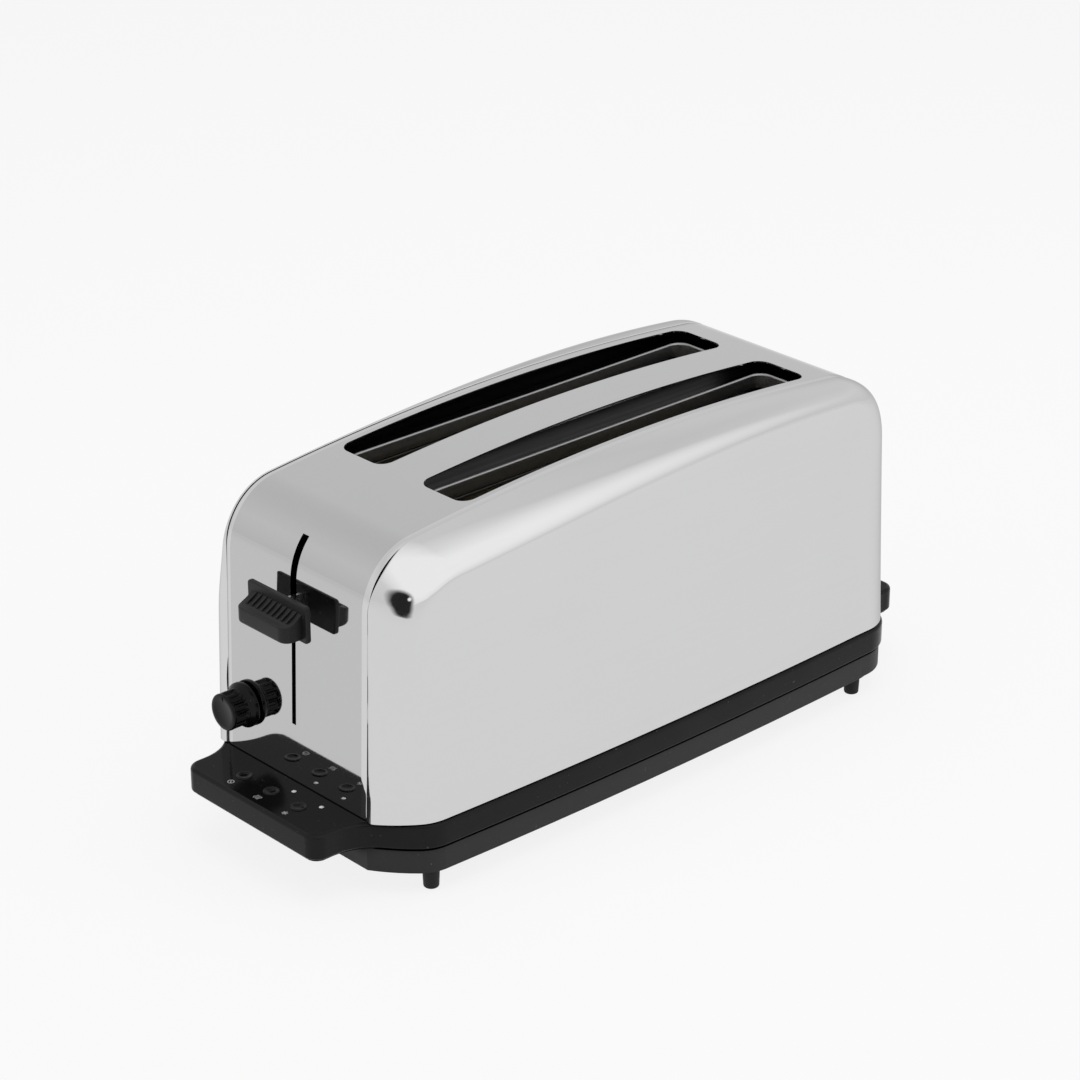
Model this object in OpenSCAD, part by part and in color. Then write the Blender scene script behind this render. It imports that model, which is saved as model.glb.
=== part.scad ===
/* [Casing] */
// Length of the casing where it stands on the base
case_l = 385; // [360:1:410]
// Width of the middle strap between its two side seams
strap_w = 117.4; // [112:0.2:124]
// Rounding between the sloped edge of a side shell and its flat side
knee_r = 22; // [18:0.5:24]
// Outward bow of each side shell at mid length
side_bow = 3.3; // [1:0.1:6]
// Height of the crown above the table
crown_h = 204; // [200:1:212]
// Radius of the arched top
crown_r = 1430; // [1100:10:2500]
// Radius of the two end corners of the arch
corner_r = 36; // [35:1:42]
// Inward lean of the two end walls in degrees
end_lean = 2; // [0.5:0.1:3]
// Inward lean of the two side walls in degrees
side_lean = 3.3; // [1.5:0.1:4.5]
// Thickness of the casing sheet
sheet_t = 0.8; // [0.6:0.1:1.2]
// Width of the seam between the strap and each side shell
seam_gap = 0.4; // [0.2:0.1:0.8]

/* [Bread slots] */
// Length of each bread slot
slot_l = 260; // [240:1:270]
// Width of each bread slot
slot_w = 36.7; // [33:0.1:39]
// Strap left between the two slots
slot_gap = 29; // [26:0.5:32]
// Shift of the slots and the crown toward the rear
slot_x = 14; // [9:1:18]
// Corner radius of each slot
slot_corner = 8; // [5:0.5:12]
// Step from the slot edge in to the collar below it
collar_inset = 2; // [1:0.25:3]
// Thickness of the rolled collar
collar_t = 2; // [1.5:0.25:3]
// Height of the rolled collar
collar_h = 8.5; // [6:0.5:10]
// Depth of the collar below the crown
collar_drop = 11.5; // [10:0.5:14]

/* [Base] */
// Height of the base moulding
rim_h = 16; // [15:0.5:20]
// Height of the bottom pan
pan_h = 13.5; // [12.5:0.5:17]
// Lip of the base moulding past the casing
rim_lip = 1.5; // [0.8:0.1:2.4]
// Wall of the base mouldings
wall_t = 2.5; // [2:0.1:3]
// Reach of the shelf past each end of the casing
shelf_reach = 31; // [28:0.5:38]
// Width of the two end shelves
shelf_w = 108; // [104:1:116]
// Outer corner radius of the shelves
shelf_corner = 7; // [5:0.5:10]
// Radius of the sweep from a shelf into the base side
shelf_sweep = 30; // [24:1:36]
// Height of the feet
foot_h = 13; // [9:0.5:18]
// Diameter of a foot where it meets the pan
foot_d = 9.6; // [8:0.2:12]
// Diameter of a foot at its tip
foot_tip_d = 8.6; // [7:0.2:10]
// Distance of the feet from the casing ends
foot_inset = 28.5; // [27:0.5:36]
// Distance of the feet outside the strap seams
foot_side = 18; // [14:0.5:19]

/* [Lever] */
// Height of the lever at rest
lever_z = 145; // [140:1:148]
// Travel of the lever down to its latch
lever_drop = 60; // [52:1:62]
// Extra travel of the lever above rest
lever_lift = 25; // [10:1:27]
// Sideways place of the lever and its slit
lever_y = 1; // [-2:0.5:3]
// Width of the slit
slit_w = 3.3; // [3:0.1:4.5]
// Width of the slit's upper end, where the tongue is put in
head_w = 5; // [4.6:0.1:6]
// Width of the lever's flange
flange_w = 49; // [42:1:54]
// Height of the lever's flange
flange_h = 21; // [18:0.5:26]
// Distance of the flange from the end wall
flange_off = 8; // [7:0.5:12]
// Width of the lever's finger pad
pad_w = 41; // [34:1:46]
// Reach of the finger pad past the flange
pad_reach = 12; // [9:0.5:16]

/* [Knob and buttons] */
// Diameter of the knob's grip
knob_d = 21; // [17:0.5:24]
// Diameter of the knob's skirt
skirt_d = 25.5; // [24:0.5:29]
// Length of the knob
knob_l = 15.5; // [14:0.5:20]
// Sideways place of the knob
knob_y = 41.5; // [38:0.5:43]
// Height of the knob's axis
knob_z = 73; // [68:0.5:80]
// Diameter of the knob's shaft
shaft_d = 6; // [4:0.25:7]
// Number of flutes round the knob
flutes = 12; // [8:1:16]
// Diameter of each button
button_d = 9; // [7:0.5:11]
// Distance between the buttons
button_pitch = 23; // [19:0.5:24]
// Distance of the buttons from the shelf's front edge
button_back = 16; // [13:0.5:18]
// Travel of a button
button_travel = 1.5; // [0.8:0.1:1.8]
// Diameter of a lamp lens
lamp_d = 3; // [2:0.25:4]

/* [Mechanism] */
// Diameter of the two carriage guide rods
rod_d = 5; // [4:0.25:6]
// Distance between the guide rods
rod_pitch = 40; // [36:0.5:44]
// Distance from the front bulkhead to the guide rods
rod_gap = 25; // [20:0.5:28]
// Wire of the return spring
spring_wire = 1.2; // [0.8:0.1:1.5]
// Curls of the return spring
spring_curls = 18; // [12:1:20]
// Turns of heater ribbon on each card
ribbon_turns = 10; // [6:1:13]
// Diameter of the guard wires
guard_d = 1.8; // [1.4:0.1:2.4]
// Height of the crumb tray's walls
tray_h = 7.4; // [6:0.2:8.5]
// Bore of the cord gland
gland_bore = 6.8; // [5.5:0.1:7]

/* [Hidden] */
$fn = 48;

// Clearances
seat = 0.3;
run = 0.05;
cut = 1;

// Levels
pan_top = foot_h + pan_h;
base_top = pan_top + rim_h;
deck_low = base_top - wall_t;
floor_top = foot_h + wall_t;
collar_top = crown_h - collar_drop;
frame_z = collar_top - collar_h;
plate_t = 1;

// Plan of the casing
half_l = case_l / 2;
strap_y = strap_w / 2;
edge_slope = 32;
knee_a = 48;
facet_r = 100;
facet_back = facet_r * (cos(edge_slope) - cos(knee_a));
facet_rise = facet_r * (sin(knee_a) - sin(edge_slope));
edge_w = facet_rise + knee_r * (1 - sin(knee_a));
side_y = strap_y + edge_w;
knee_c = [half_l - facet_back - knee_r * cos(knee_a), side_y - knee_r];
facet_c = knee_c - (facet_r - knee_r) * [cos(knee_a), sin(knee_a)];
bow_r = knee_r + (pow(knee_c[0], 2) + pow(side_bow, 2)) / (2 * side_bow);
bow_y = side_y + side_bow - bow_r;
shelf_x = half_l + shelf_reach;
shelf_y = shelf_w / 2;
sweep_y = shelf_y + shelf_sweep;
sweep_x = facet_c[0] + sqrt(pow(shelf_sweep + facet_r, 2) - pow(sweep_y - facet_c[1], 2));

// Chamber between the bulkheads
slot_y = (slot_gap + slot_w) / 2;
slot_out = slot_gap / 2 + slot_w;
end_room = 8;
front_in = slot_x - slot_l / 2 - end_room;
rear_in = slot_x + slot_l / 2 + end_room;
chamber_l = rear_in - front_in;
chamber_x = (front_in + rear_in) / 2;
card_room = 10;
card_y = slot_out + card_room;
reflector_y = card_y + 5;
arm_gap = 5;

// Lever and carriage
tongue_t = 2;
tongue_h = 12;
slit_end = 3;
head_end = 6.5;
bracket_t = 2;
bracket_low = lever_z - 19;
bracket_top = lever_z + tongue_h / 2;
arm_h = 8;
rack_t = 1.5;
rod_x = front_in - plate_t - rod_gap;
bridge_t = 2;
bush_d = rod_d + 2 * run + 5;
keeper_t = 2;
flange_t = 3;
flange_round = 2;
pad_round = 5;
pad_top = 2;
pad_deep = 8.5;
pad_rise = 3.6;
rod_seat = 1;
flange_x = -(wall_x(lever_z) + flange_off);
slit_low = lever_z - lever_drop - tongue_h / 2 - slit_end;
slit_high = lever_z + lever_lift + tongue_h / 2 + head_end;
head_low = lever_z + flange_h / 4;

// Knob, its timer and the shelf controls
knob_gap = 0.8;
knob_x = -(wall_x(knob_z) + knob_gap);
knob_wall = 5;
board_t = 1.6;
board_back = 20;
board_x = knob_x + board_back;
pot_l = 9;
pot_d = 17;
pot_back = 2;
button_x = -(shelf_x + rim_lip - button_back);
button_gap = 0.15;
button_proud = 0.6;
flange_step = 1.2;
stem_d = 3;
stem_l = 1;
stem_low = deck_low - run - flange_step - stem_l;
lamp_back = 9;
lamp_side = 8;
cover_t = 2;
control_z = pan_top + cover_t + 2.5;
cover_screw_y = shelf_y - 10;
cover_screw_x = half_l + shelf_reach / 2;
boss_d = 8;
screw_d = 3.2;
screw_head_d = 6.4;
screw_head_t = 2;
screw_sink = 0.6;
sink_t = 1.6;
pan_screw_x = 100;
pan_screw_y = strap_y + foot_side;
foot_pin_d = 5;
foot_x = half_l - foot_inset;
foot_y = strap_y + foot_side;
tray_y = slot_out + 3.2;
tray_front = front_in + 2;
tray_low = floor_top + seat;
gland_z = (pan_top + cover_t + deck_low) / 2;
gland_d = gland_bore + 2.4;

// Half length of the casing at height z
function wall_x(z) = half_l - tan(end_lean) * (z - base_top);

function blend(a, b, k) = a + (b - a) * k;

function ray(a) = [cos(a), sin(a)];

// Centre of the arch and of an end corner, side -1 at the front and 1 at the rear
function crown_c() = [slot_x, crown_h - crown_r];

function corner_c(side) = let (
    out = [side * cos(end_lean), sin(end_lean)],
    up = [-side * sin(end_lean), cos(end_lean)],
    foot = [side * half_l, base_top] - corner_r * out,
    arm = foot - crown_c(),
    along = arm * up
) foot + up * (sqrt(pow(along, 2) - arm * arm + pow(crown_r - corner_r, 2)) - along);

function crown_a(side) = let (arm = corner_c(side) - crown_c()) atan2(arm[1], arm[0]);

function wall_a(side) = side > 0 ? end_lean : 180 - end_lean;

// Side section of the casing, set in by inset, with each corner drawn in its own frame on the arch
module casing_section(inset) {
    arch = crown_r - inset;
    round_r = corner_r - inset;
    crown_in = crown_r - corner_r;
    beyond = 1.1 * crown_r;
    intersection() {
        translate([-case_l, base_top]) square([2 * case_l, crown_h]);
        union() {
            translate(crown_c()) intersection() {
                circle(arch, $fn = 360);
                polygon([[0, 0], beyond * ray(crown_a(1)), beyond * ray(90), beyond * ray(crown_a(-1))]);
            }
            for (side = [-1, 1]) translate(crown_c()) rotate(crown_a(side)) translate([crown_in, 0]) {
                circle(round_r, $fn = 96);
                rotate(wall_a(side) - crown_a(side)) translate([0, side > 0 ? -crown_h : 0])
                    square([round_r, crown_h]);
            }
            polygon([core_point(-1, 0), core_point(1, 0), core_point(1, crown_h), core_point(-1, crown_h)]);
        }
    }
}

// A point inside an end wall, down by drop from the corner's centre
function core_point(side, drop) = corner_c(side) + corner_r / 2 * [side * cos(end_lean), sin(end_lean)]
    + drop * [side * sin(end_lean), -cos(end_lean)];

// Plan of the base without its shelves, set out by grow
module base_round(grow) {
    difference() {
        intersection() {
            square([case_l + 2 * grow, 2 * (side_y + side_bow + grow)], center = true);
            translate([0, bow_y]) circle(bow_r + grow, $fn = 360);
            translate([0, -bow_y]) circle(bow_r + grow, $fn = 360);
        }
        for (x = [-1, 1], y = [-1, 1]) scale([x, y]) plan_corner(grow);
    }
}

// Waste outside one corner of the base, drawn in the frame of its knee: sloped facet, then the knee
module plan_corner(grow) {
    reach = knee_c - [0, bow_y];
    side_a = atan2(reach[1], reach[0]) - knee_a;
    r = knee_r + grow;
    translate(knee_c) rotate(knee_a) {
        difference() {
            translate([0, -0.45 * facet_r]) square([0.6, 0.75] * facet_r);
            translate([knee_r - facet_r, 0]) circle(facet_r + grow, $fn = 360);
        }
        difference() {
            polygon([[r, 0], [2 * r, 0], 2 * r * ray(side_a), r * ray(side_a), r / 4 * ray(side_a / 2)]);
            circle(r, $fn = 96);
        }
    }
}

// Plan of one shelf with its swept sides, set out by grow
module shelf_plan(grow) {
    r = shelf_corner + grow;
    sweep = [sweep_x, sweep_y];
    touch = facet_c + (sweep - facet_c) * (facet_r + grow) / norm(sweep - facet_c);
    translate([0, -shelf_y - grow]) square([shelf_x + grow - r, 2 * (shelf_y + grow)]);
    translate([0, r - shelf_y - grow]) square([shelf_x + grow, 2 * (shelf_y + grow - r)]);
    for (y = [-1, 1]) {
        translate([shelf_x - shelf_corner, y * (shelf_y - shelf_corner)]) circle(r);
        scale([1, y]) difference() {
            polygon([[knee_c[0], 0], [sweep_x, 0], [sweep_x, shelf_y + grow], sweep, touch, facet_c]);
            translate(sweep) circle(shelf_sweep - grow, $fn = 96);
        }
    }
}

module base_plan(grow) {
    base_round(grow);
    for (x = [-1, 1]) scale([x, 1]) shelf_plan(grow);
}

module rounded(l, w, r) {
    square([l - 2 * r, w], center = true);
    square([l, w - 2 * r], center = true);
    for (x = [-1, 1], y = [-1, 1]) translate([x * (l / 2 - r), y * (w / 2 - r)]) circle(r);
}

module slot_plan(inset) {
    rounded(slot_l - 2 * inset, slot_w - 2 * inset, slot_corner);
}

module slots(low, high, inset) {
    for (y = [-1, 1]) translate([slot_x, y * slot_y, low]) linear_extrude(high - low) slot_plan(inset);
}

module block(low, high) {
    translate(low) cube(high - low);
}

module along_x(x, y, z) {
    translate([x, y, z]) rotate([0, 90, 0]) children();
}

module at_four(px, py, z) {
    for (x = [-1, 1], y = [-1, 1]) translate([x * px, y * py, z]) children();
}

module at_rods(z) {
    for (y = [-1, 1]) translate([rod_x, y * rod_pitch / 2, z]) children();
}

module at_buttons(z) {
    for (i = [-1:1]) translate([button_x, i * button_pitch, z]) children();
}

module at_lamps(z) {
    for (i = [-1:0]) translate([button_x + lamp_back, i * button_pitch - lamp_side, z]) children();
}

// Middle strap that wraps over the toaster from end to end
module wrap_panel() {
    width = strap_w - seam_gap;
    shaft_hole_d = shaft_d + 4;
    color("silver") difference() {
        rotate([90, 0, 0]) linear_extrude(width, center = true) difference() {
            casing_section(0);
            casing_section(sheet_t);
        }
        slots(frame_z, crown_h + cut, 0);
        block([-half_l - cut, lever_y - slit_w / 2, slit_low], [rod_x, lever_y + slit_w / 2, slit_high]);
        block([-half_l - cut, lever_y - head_w / 2, head_low], [rod_x, lever_y + head_w / 2, slit_high]);
        along_x(knob_x - cut, knob_y, knob_z) cylinder(d = shaft_hole_d, h = knob_wall + 4 * cut);
    }
}

// Stations along the side section: place, height and outward angle
corner_steps = 10;
crown_steps = 12;
edge_steps = 8;
stations = concat(
    [[-half_l, base_top, 180]],
    [for (i = [0:corner_steps]) corner_station(-1, blend(wall_a(-1), crown_a(-1), i / corner_steps))],
    [for (i = [1:crown_steps - 1]) crown_station(blend(crown_a(-1), crown_a(1), i / crown_steps))],
    [for (i = [0:corner_steps]) corner_station(1, blend(crown_a(1), wall_a(1), i / corner_steps))],
    [[half_l, base_top, 0]]);

function corner_station(side, a) = let (p = corner_c(side) + corner_r * ray(a)) [p[0], p[1], a];

function crown_station(a) = let (p = crown_c() + crown_r * ray(a)) [p[0], p[1], a];

function bow(x) = max(0, sqrt(pow(bow_r, 2) - pow(x, 2)) + bow_y - side_y);

// Section of a shell's edge: turn is its outward angle, from the slope at the seam to 90 at the flat side
function edge_back(turn) = turn < knee_a ? facet_r * (cos(edge_slope) - cos(turn))
    : facet_back + knee_r * (cos(knee_a) - cos(turn));

function edge_out(turn) = (turn < knee_a ? facet_r * (sin(turn) - sin(edge_slope))
    : facet_rise + knee_r * (sin(turn) - sin(knee_a))) / edge_w;

function edge_turn(j) = blend(edge_slope, 90, j / edge_steps);

// A point of the side shell, with inset as the depth into its sheet
function side_point(x, z, turn, inset) = let (
    lean = tan(side_lean) * (z - base_top),
    start = seam_gap / 2,
    wide = edge_w - start + bow(x) - lean
) [x, strap_y + start + max(0, edge_out(turn) * wide - inset * sin(turn)), z];

function edge_point(station, turn, inset) = let (
    back = edge_back(turn) + inset * cos(turn),
    p = [station[0], station[1]] - back * ray(station[2])
) side_point(p[0], p[1], turn, inset);

// Rings shrink from the flat side's edge toward the middle of the bottom edge
fan = [0.4, 0.75];
function fan_point(station, k, inset) = let (p = edge_point(station, 90, inset))
    side_point(p[0] * (1 - k), blend(p[2], base_top, k), 90, inset);

function shell_side(inset) = [for (s = stations)
    each concat([for (j = [0:edge_steps]) edge_point(s, edge_turn(j), inset)],
        [for (k = fan) fan_point(s, k, inset)])];

module side_shell() {
    rows = len(stations);
    cols = edge_steps + 1 + len(fan);
    size = rows * cols;
    points = concat(shell_side(0), shell_side(sheet_t),
        [side_point(0, base_top, 90, 0), side_point(0, base_top, 90, sheet_t)]);
    outer = [for (i = [0:rows - 2], j = [0:cols - 2]) let (p = i * cols + j)
        each [[p, p + 1, p + cols], [p + 1, p + cols + 1, p + cols]]];
    outer_hub = [for (i = [0:rows - 2]) [(i + 1) * cols - 1, 2 * size, (i + 2) * cols - 1]];
    inner = [for (f = outer) [f[2] + size, f[1] + size, f[0] + size]];
    inner_hub = [for (f = outer_hub) [f[2] + size, 2 * size + 1, f[0] + size]];
    seam = [for (i = [0:rows - 2]) let (p = i * cols)
        each [[p, p + cols, p + size], [p + cols, p + cols + size, p + size]]];
    front = [for (j = [0:cols - 2]) each [[j + 1, j, j + size], [j + 1, j + size, j + 1 + size]]];
    front_hub = let (p = cols - 1) [[2 * size, p, p + size], [2 * size, p + size, 2 * size + 1]];
    last = (rows - 1) * cols;
    rear = [for (j = [last:last + cols - 2]) each [[j, j + 1, j + size], [j + 1, j + 1 + size, j + size]]];
    rear_hub = let (p = last + cols - 1) [[p, 2 * size, p + size], [2 * size, 2 * size + 1, p + size]];
    polyhedron(points, concat(outer, outer_hub, inner, inner_hub, seam, front, front_hub, rear, rear_hub));
}

module side_shell_far() { color("lightgray") side_shell(); }

module side_shell_near() { color("lightgray") mirror([0, 1, 0]) side_shell(); }

// Base moulding with its deck, a shelf at each end and the rib that locates the casing
module base_moulding() {
    rib_out = sheet_t + 0.5;
    rib_h = 3;
    rib_t = 1.6;
    chute_end = 6;
    chute_side = 2;
    wire_edge = 12;
    wire_rod = 16;
    wire_side = 14;
    pan_hole_h = 10;
    cover_hole_h = 8;
    shelf_in = shelf_x + rim_lip - wall_t;
    color("#2b2b2d") difference() {
        union() {
            difference() {
                translate([0, 0, pan_top]) linear_extrude(rim_h) base_plan(rim_lip);
                translate([0, 0, pan_top - cut]) linear_extrude(rim_h - wall_t + cut)
                    base_plan(rim_lip - wall_t);
            }
            translate([0, 0, base_top]) linear_extrude(rib_h) difference() {
                base_round(-rib_out);
                base_round(-rib_out - rib_t);
            }
            at_four(pan_screw_x, pan_screw_y, pan_top) cylinder(d = boss_d, h = deck_low - pan_top);
            at_four(cover_screw_x, cover_screw_y, pan_top + cover_t)
                cylinder(d = boss_d, h = deck_low - pan_top - cover_t);
        }
        block([front_in + chute_end, -card_y - chute_side, deck_low - cut],
            [rear_in - chute_end, card_y + chute_side, base_top + cut]);
        block([wire_edge - half_l, wire_edge - strap_y, deck_low - cut],
            [rod_x - wire_rod, -wire_side, base_top + cut]);
        at_four(pan_screw_x, pan_screw_y, pan_top - cut)
            cylinder(d = screw_d + 2 * run, h = pan_hole_h + cut);
        at_four(cover_screw_x, cover_screw_y, pan_top) cylinder(d = screw_d + 2 * run, h = cover_hole_h);
        at_buttons(deck_low - cut) cylinder(d = button_d + 2 * button_gap, h = wall_t + 2 * cut);
        at_lamps(deck_low - cut) cylinder(d = lamp_d + 2 * run, h = wall_t + 2 * cut);
        at_rods(base_top - rod_seat) cylinder(d = rod_d + 2 * run, h = rod_seat + cut);
        along_x(shelf_in - cut, 0, gland_z) cylinder(d = gland_d + 2 * run, h = wall_t + 2 * cut);
        block([shelf_in - cut, -gland_d / 2 - run, pan_top - cut],
            [shelf_in + wall_t + cut, gland_d / 2 + run, gland_z]);
    }
}

// Cover that closes the underside of a shelf
module shelf_cover() {
    color("#262628") difference() {
        translate([0, 0, pan_top]) linear_extrude(cover_t) intersection() {
            base_plan(rim_lip - wall_t - seat);
            translate([half_l - wall_t, -side_y]) square([shelf_reach + wall_t, 2 * side_y]);
        }
        at_four(cover_screw_x, cover_screw_y, pan_top) {
            cylinder(d1 = screw_head_d + 2 * run, d2 = screw_d + 2 * run, h = sink_t);
            translate([0, 0, -cut]) cylinder(d = screw_d + 2 * run, h = cover_t + 2 * cut);
        }
    }
}

module shelf_cover_front() {
    post_back = 4;
    post_y = button_pitch + 7;
    post_d = 6;
    scale([-1, 1, 1]) shelf_cover();
    color("#262628") for (y = [-1, 1]) translate([button_x + post_back, y * post_y, pan_top + cover_t])
        cylinder(d = post_d, h = control_z - pan_top - cover_t);
}

module shelf_cover_rear() { shelf_cover(); }

// Bottom pan with runners for the crumb tray, screw posts and vents
module base_pan() {
    vent_n = 5;
    vent_l = 30;
    vent_w = 4;
    vent_pitch = 10;
    vent_room = 22;
    vent_x = front_in - vent_room;
    vent_y = 24;
    runner_t = 2;
    runner_h = 6;
    runner_gap = 0.5;
    runner_y = tray_y + runner_gap + runner_t / 2;
    screw_room = 0.4;
    rear_cut = tray_y + seat;
    color("#2e2e30") difference() {
        union() {
            difference() {
                translate([0, 0, foot_h]) linear_extrude(pan_h) base_round(0);
                translate([0, 0, floor_top]) linear_extrude(pan_h) base_round(-wall_t);
            }
            for (y = [-1, 1]) translate([tray_front, y * runner_y - runner_t / 2, floor_top - cut])
                cube([half_l - wall_t - tray_front, runner_t, runner_h + cut]);
            at_four(pan_screw_x, pan_screw_y, foot_h) cylinder(d = boss_d + 2, h = pan_h);
        }
        block([half_l - wall_t - cut, -rear_cut, floor_top], [half_l + cut, rear_cut, pan_top + cut]);
        at_four(pan_screw_x, pan_screw_y, foot_h - cut) {
            cylinder(d = screw_d + screw_room, h = pan_h + 2 * cut);
            cylinder(d = screw_head_d + screw_room, h = screw_head_t + screw_sink + cut);
        }
        at_four(foot_x, foot_y, foot_h - cut) cylinder(d = foot_pin_d + 2 * run, h = wall_t + 2 * cut);
        for (i = [0:vent_n - 1], y = [-1, 1])
            translate([vent_x - i * vent_pitch, y * vent_y, foot_h - cut])
                linear_extrude(wall_t + 2 * cut) rounded(vent_w, vent_l, vent_w / 2 - 0.1);
    }
}

// Tapered peg foot with a pin through the pan
module foot(x, y) {
    color("#1c1c1d") translate([x * foot_x, y * foot_y, 0]) {
        cylinder(d1 = foot_tip_d, d2 = foot_d, h = foot_h);
        translate([0, 0, foot_h]) cylinder(d = foot_pin_d, h = wall_t);
    }
}

module foot_front_near() { foot(-1, -1); }

module foot_front_far() { foot(-1, 1); }

module foot_rear_near() { foot(1, -1); }

module foot_rear_far() { foot(1, 1); }

module sunk_screw(l) {
    cylinder(d1 = screw_head_d, d2 = screw_d, h = sink_t);
    cylinder(d = screw_d, h = l);
}

module pan_screws() {
    bite = 6;
    color("dimgray") at_four(pan_screw_x, pan_screw_y, foot_h + screw_sink) {
        cylinder(d = screw_head_d, h = screw_head_t);
        cylinder(d = screw_d, h = pan_h + bite);
    }
}

module cover_screws() {
    length = 7;
    color("dimgray") at_four(cover_screw_x, cover_screw_y, pan_top) sunk_screw(length);
}

// Flat frame under the arch with a rolled collar round each slot
module top_frame() {
    wide = reflector_y + plate_t;
    color("#b9bcc0") difference() {
        union() {
            block([front_in - plate_t, -wide, frame_z], [rear_in + plate_t, wide, frame_z + plate_t]);
            slots(frame_z, collar_top, collar_inset);
        }
        slots(frame_z - cut, collar_top + cut, collar_inset + collar_t);
    }
}

// Bulkhead at one end of the chamber, with a guide slit for each rack arm
module bulkhead(x, side) {
    wide = reflector_y + plate_t;
    low = bracket_low - lever_drop - slit_end;
    high = bracket_low + arm_h + lever_lift + slit_end;
    out = side * plate_t;
    turned = side * 10;
    color("#9fa3a8") difference() {
        union() {
            block([min(x, x + out), -wide, base_top], [max(x, x + out), wide, frame_z]);
            block([min(x, x + turned), -wide, base_top], [max(x, x + turned), wide, base_top + plate_t]);
        }
        for (y = [-1, 1])
            block([x - plate_t - cut, y * slot_y - arm_gap / 2, low],
                [x + plate_t + cut, y * slot_y + arm_gap / 2, high]);
    }
}

module front_bulkhead() { bulkhead(front_in, -1); }

module rear_bulkhead() { bulkhead(rear_in, 1); }

module reflector(side) {
    near = side * reflector_y;
    far = side * (reflector_y + plate_t);
    color("#c4c7ca") block([front_in, min(near, far), base_top], [rear_in, max(near, far), frame_z]);
}

module reflector_near() { reflector(-1); }

module reflector_far() { reflector(1); }

// Heater cards: mica boards with end tabs, each wound with one flat ribbon
card_t = 1;
card_low = base_top + 18;
card_high = frame_z - 8;
tab_h = 6;
tab_l = 4;
module heater_card(y) {
    color("#d8cfa8") {
        block([front_in + tab_l, y - card_t / 2, card_low], [rear_in - tab_l, y + card_t / 2, card_high]);
        for (z = [card_low, card_high - tab_h])
            block([front_in, y - card_t / 2, z], [rear_in, y + card_t / 2, z + tab_h]);
    }
}

module heater_card_near() { heater_card(-card_y); }

module heater_card_middle() { heater_card(0); }

module heater_card_far() { heater_card(card_y); }

ribbon_w = 1.6;
ribbon_t = 0.4;
ribbon_off = 0.1;
ribbon_pitch = (card_high - card_low - 2 * tab_h - 8) / ribbon_turns;
ribbon_path = let (
    x0 = front_in + tab_l - ribbon_off - ribbon_t / 2,
    x1 = rear_in - tab_l + ribbon_off + ribbon_t / 2,
    y0 = card_t / 2 + ribbon_off + ribbon_t / 2,
    z0 = card_low + tab_h + 4
) [for (i = [0:ribbon_turns - 1], c = [[x0, -1, 0], [x1, -1, 0.4], [x1, 1, 0.5], [x0, 1, 0.9]])
    [c[0], c[1] * y0, z0 + ribbon_pitch * (i + c[2])]];

// Flat ribbon along a boxy path: each ring has its outer and inner edge on the mitre
module ribbon() {
    n = len(ribbon_path);
    points = [for (i = [0:n - 1]) let (
        p = ribbon_path[i],
        side = [sign(p[0] - chamber_x), sign(p[1]), 0] * ribbon_t / 2,
        up = [0, 0, ribbon_w / 2]
    ) each [p + side - up, p + side + up, p - side + up, p - side - up]];
    walls = [for (i = [0:n - 2], j = [0:3]) let (a = 4 * i + j, b = 4 * i + (j + 1) % 4)
        each [[a, a + 4, b], [b, a + 4, b + 4]]];
    ends = [[0, 1, 2], [0, 2, 3], [4 * n - 2, 4 * n - 3, 4 * n - 4], [4 * n - 1, 4 * n - 2, 4 * n - 4]];
    echo(ribbon_least_gap = ribbon_pitch * 0.5 - ribbon_w);
    polyhedron(points, concat(walls, ends));
}

module heater_ribbon_near() { color("#8a7f78") translate([0, -card_y, 0]) ribbon(); }

module heater_ribbon_middle() { color("#8a7f78") ribbon(); }

module heater_ribbon_far() { color("#8a7f78") translate([0, card_y, 0]) ribbon(); }

// Wire guard on one side of a slot: two rails and a row of uprights
module guard(y) {
    rail_d = guard_d + 0.6;
    rail_rise = 24;
    rail_drop = 4;
    low = base_top + rail_rise;
    high = frame_z - rail_drop;
    count = 10;
    pitch = chamber_l / count;
    color("#aeb1b5") {
        for (z = [low, high]) along_x(front_in, y, z) cylinder(d = rail_d, h = chamber_l, $fn = 24);
        for (i = [0:count - 1]) translate([front_in + pitch * (i + 0.5), y, low])
            cylinder(d = guard_d, h = high - low, $fn = 24);
    }
}

guard_step = 1.6;
module guard_near_outer() { guard(-slot_out - guard_step); }

module guard_near_inner() { guard(guard_step - slot_gap / 2); }

module guard_far_inner() { guard(slot_gap / 2 - guard_step); }

module guard_far_outer() { guard(slot_out + guard_step); }

module guide_rods() {
    color("#c8cacd") at_rods(base_top - rod_seat) cylinder(d = rod_d, h = frame_z - base_top + rod_seat);
}

// Bridge from the front bulkhead that holds the rod tops
module rod_bridge() {
    edge = 8;
    drop = 2;
    fold = 14;
    wide = rod_pitch / 2 + edge;
    top = frame_z - drop;
    wall = front_in - plate_t;
    color("#9fa3a8") difference() {
        union() {
            block([rod_x - edge, -wide, top - bridge_t], [wall, wide, top]);
            block([wall - bridge_t, -wide, top - fold], [wall, wide, top]);
        }
        at_rods(top - bridge_t - cut) cylinder(d = rod_d + 2 * run, h = bridge_t + 2 * cut);
    }
}

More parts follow.
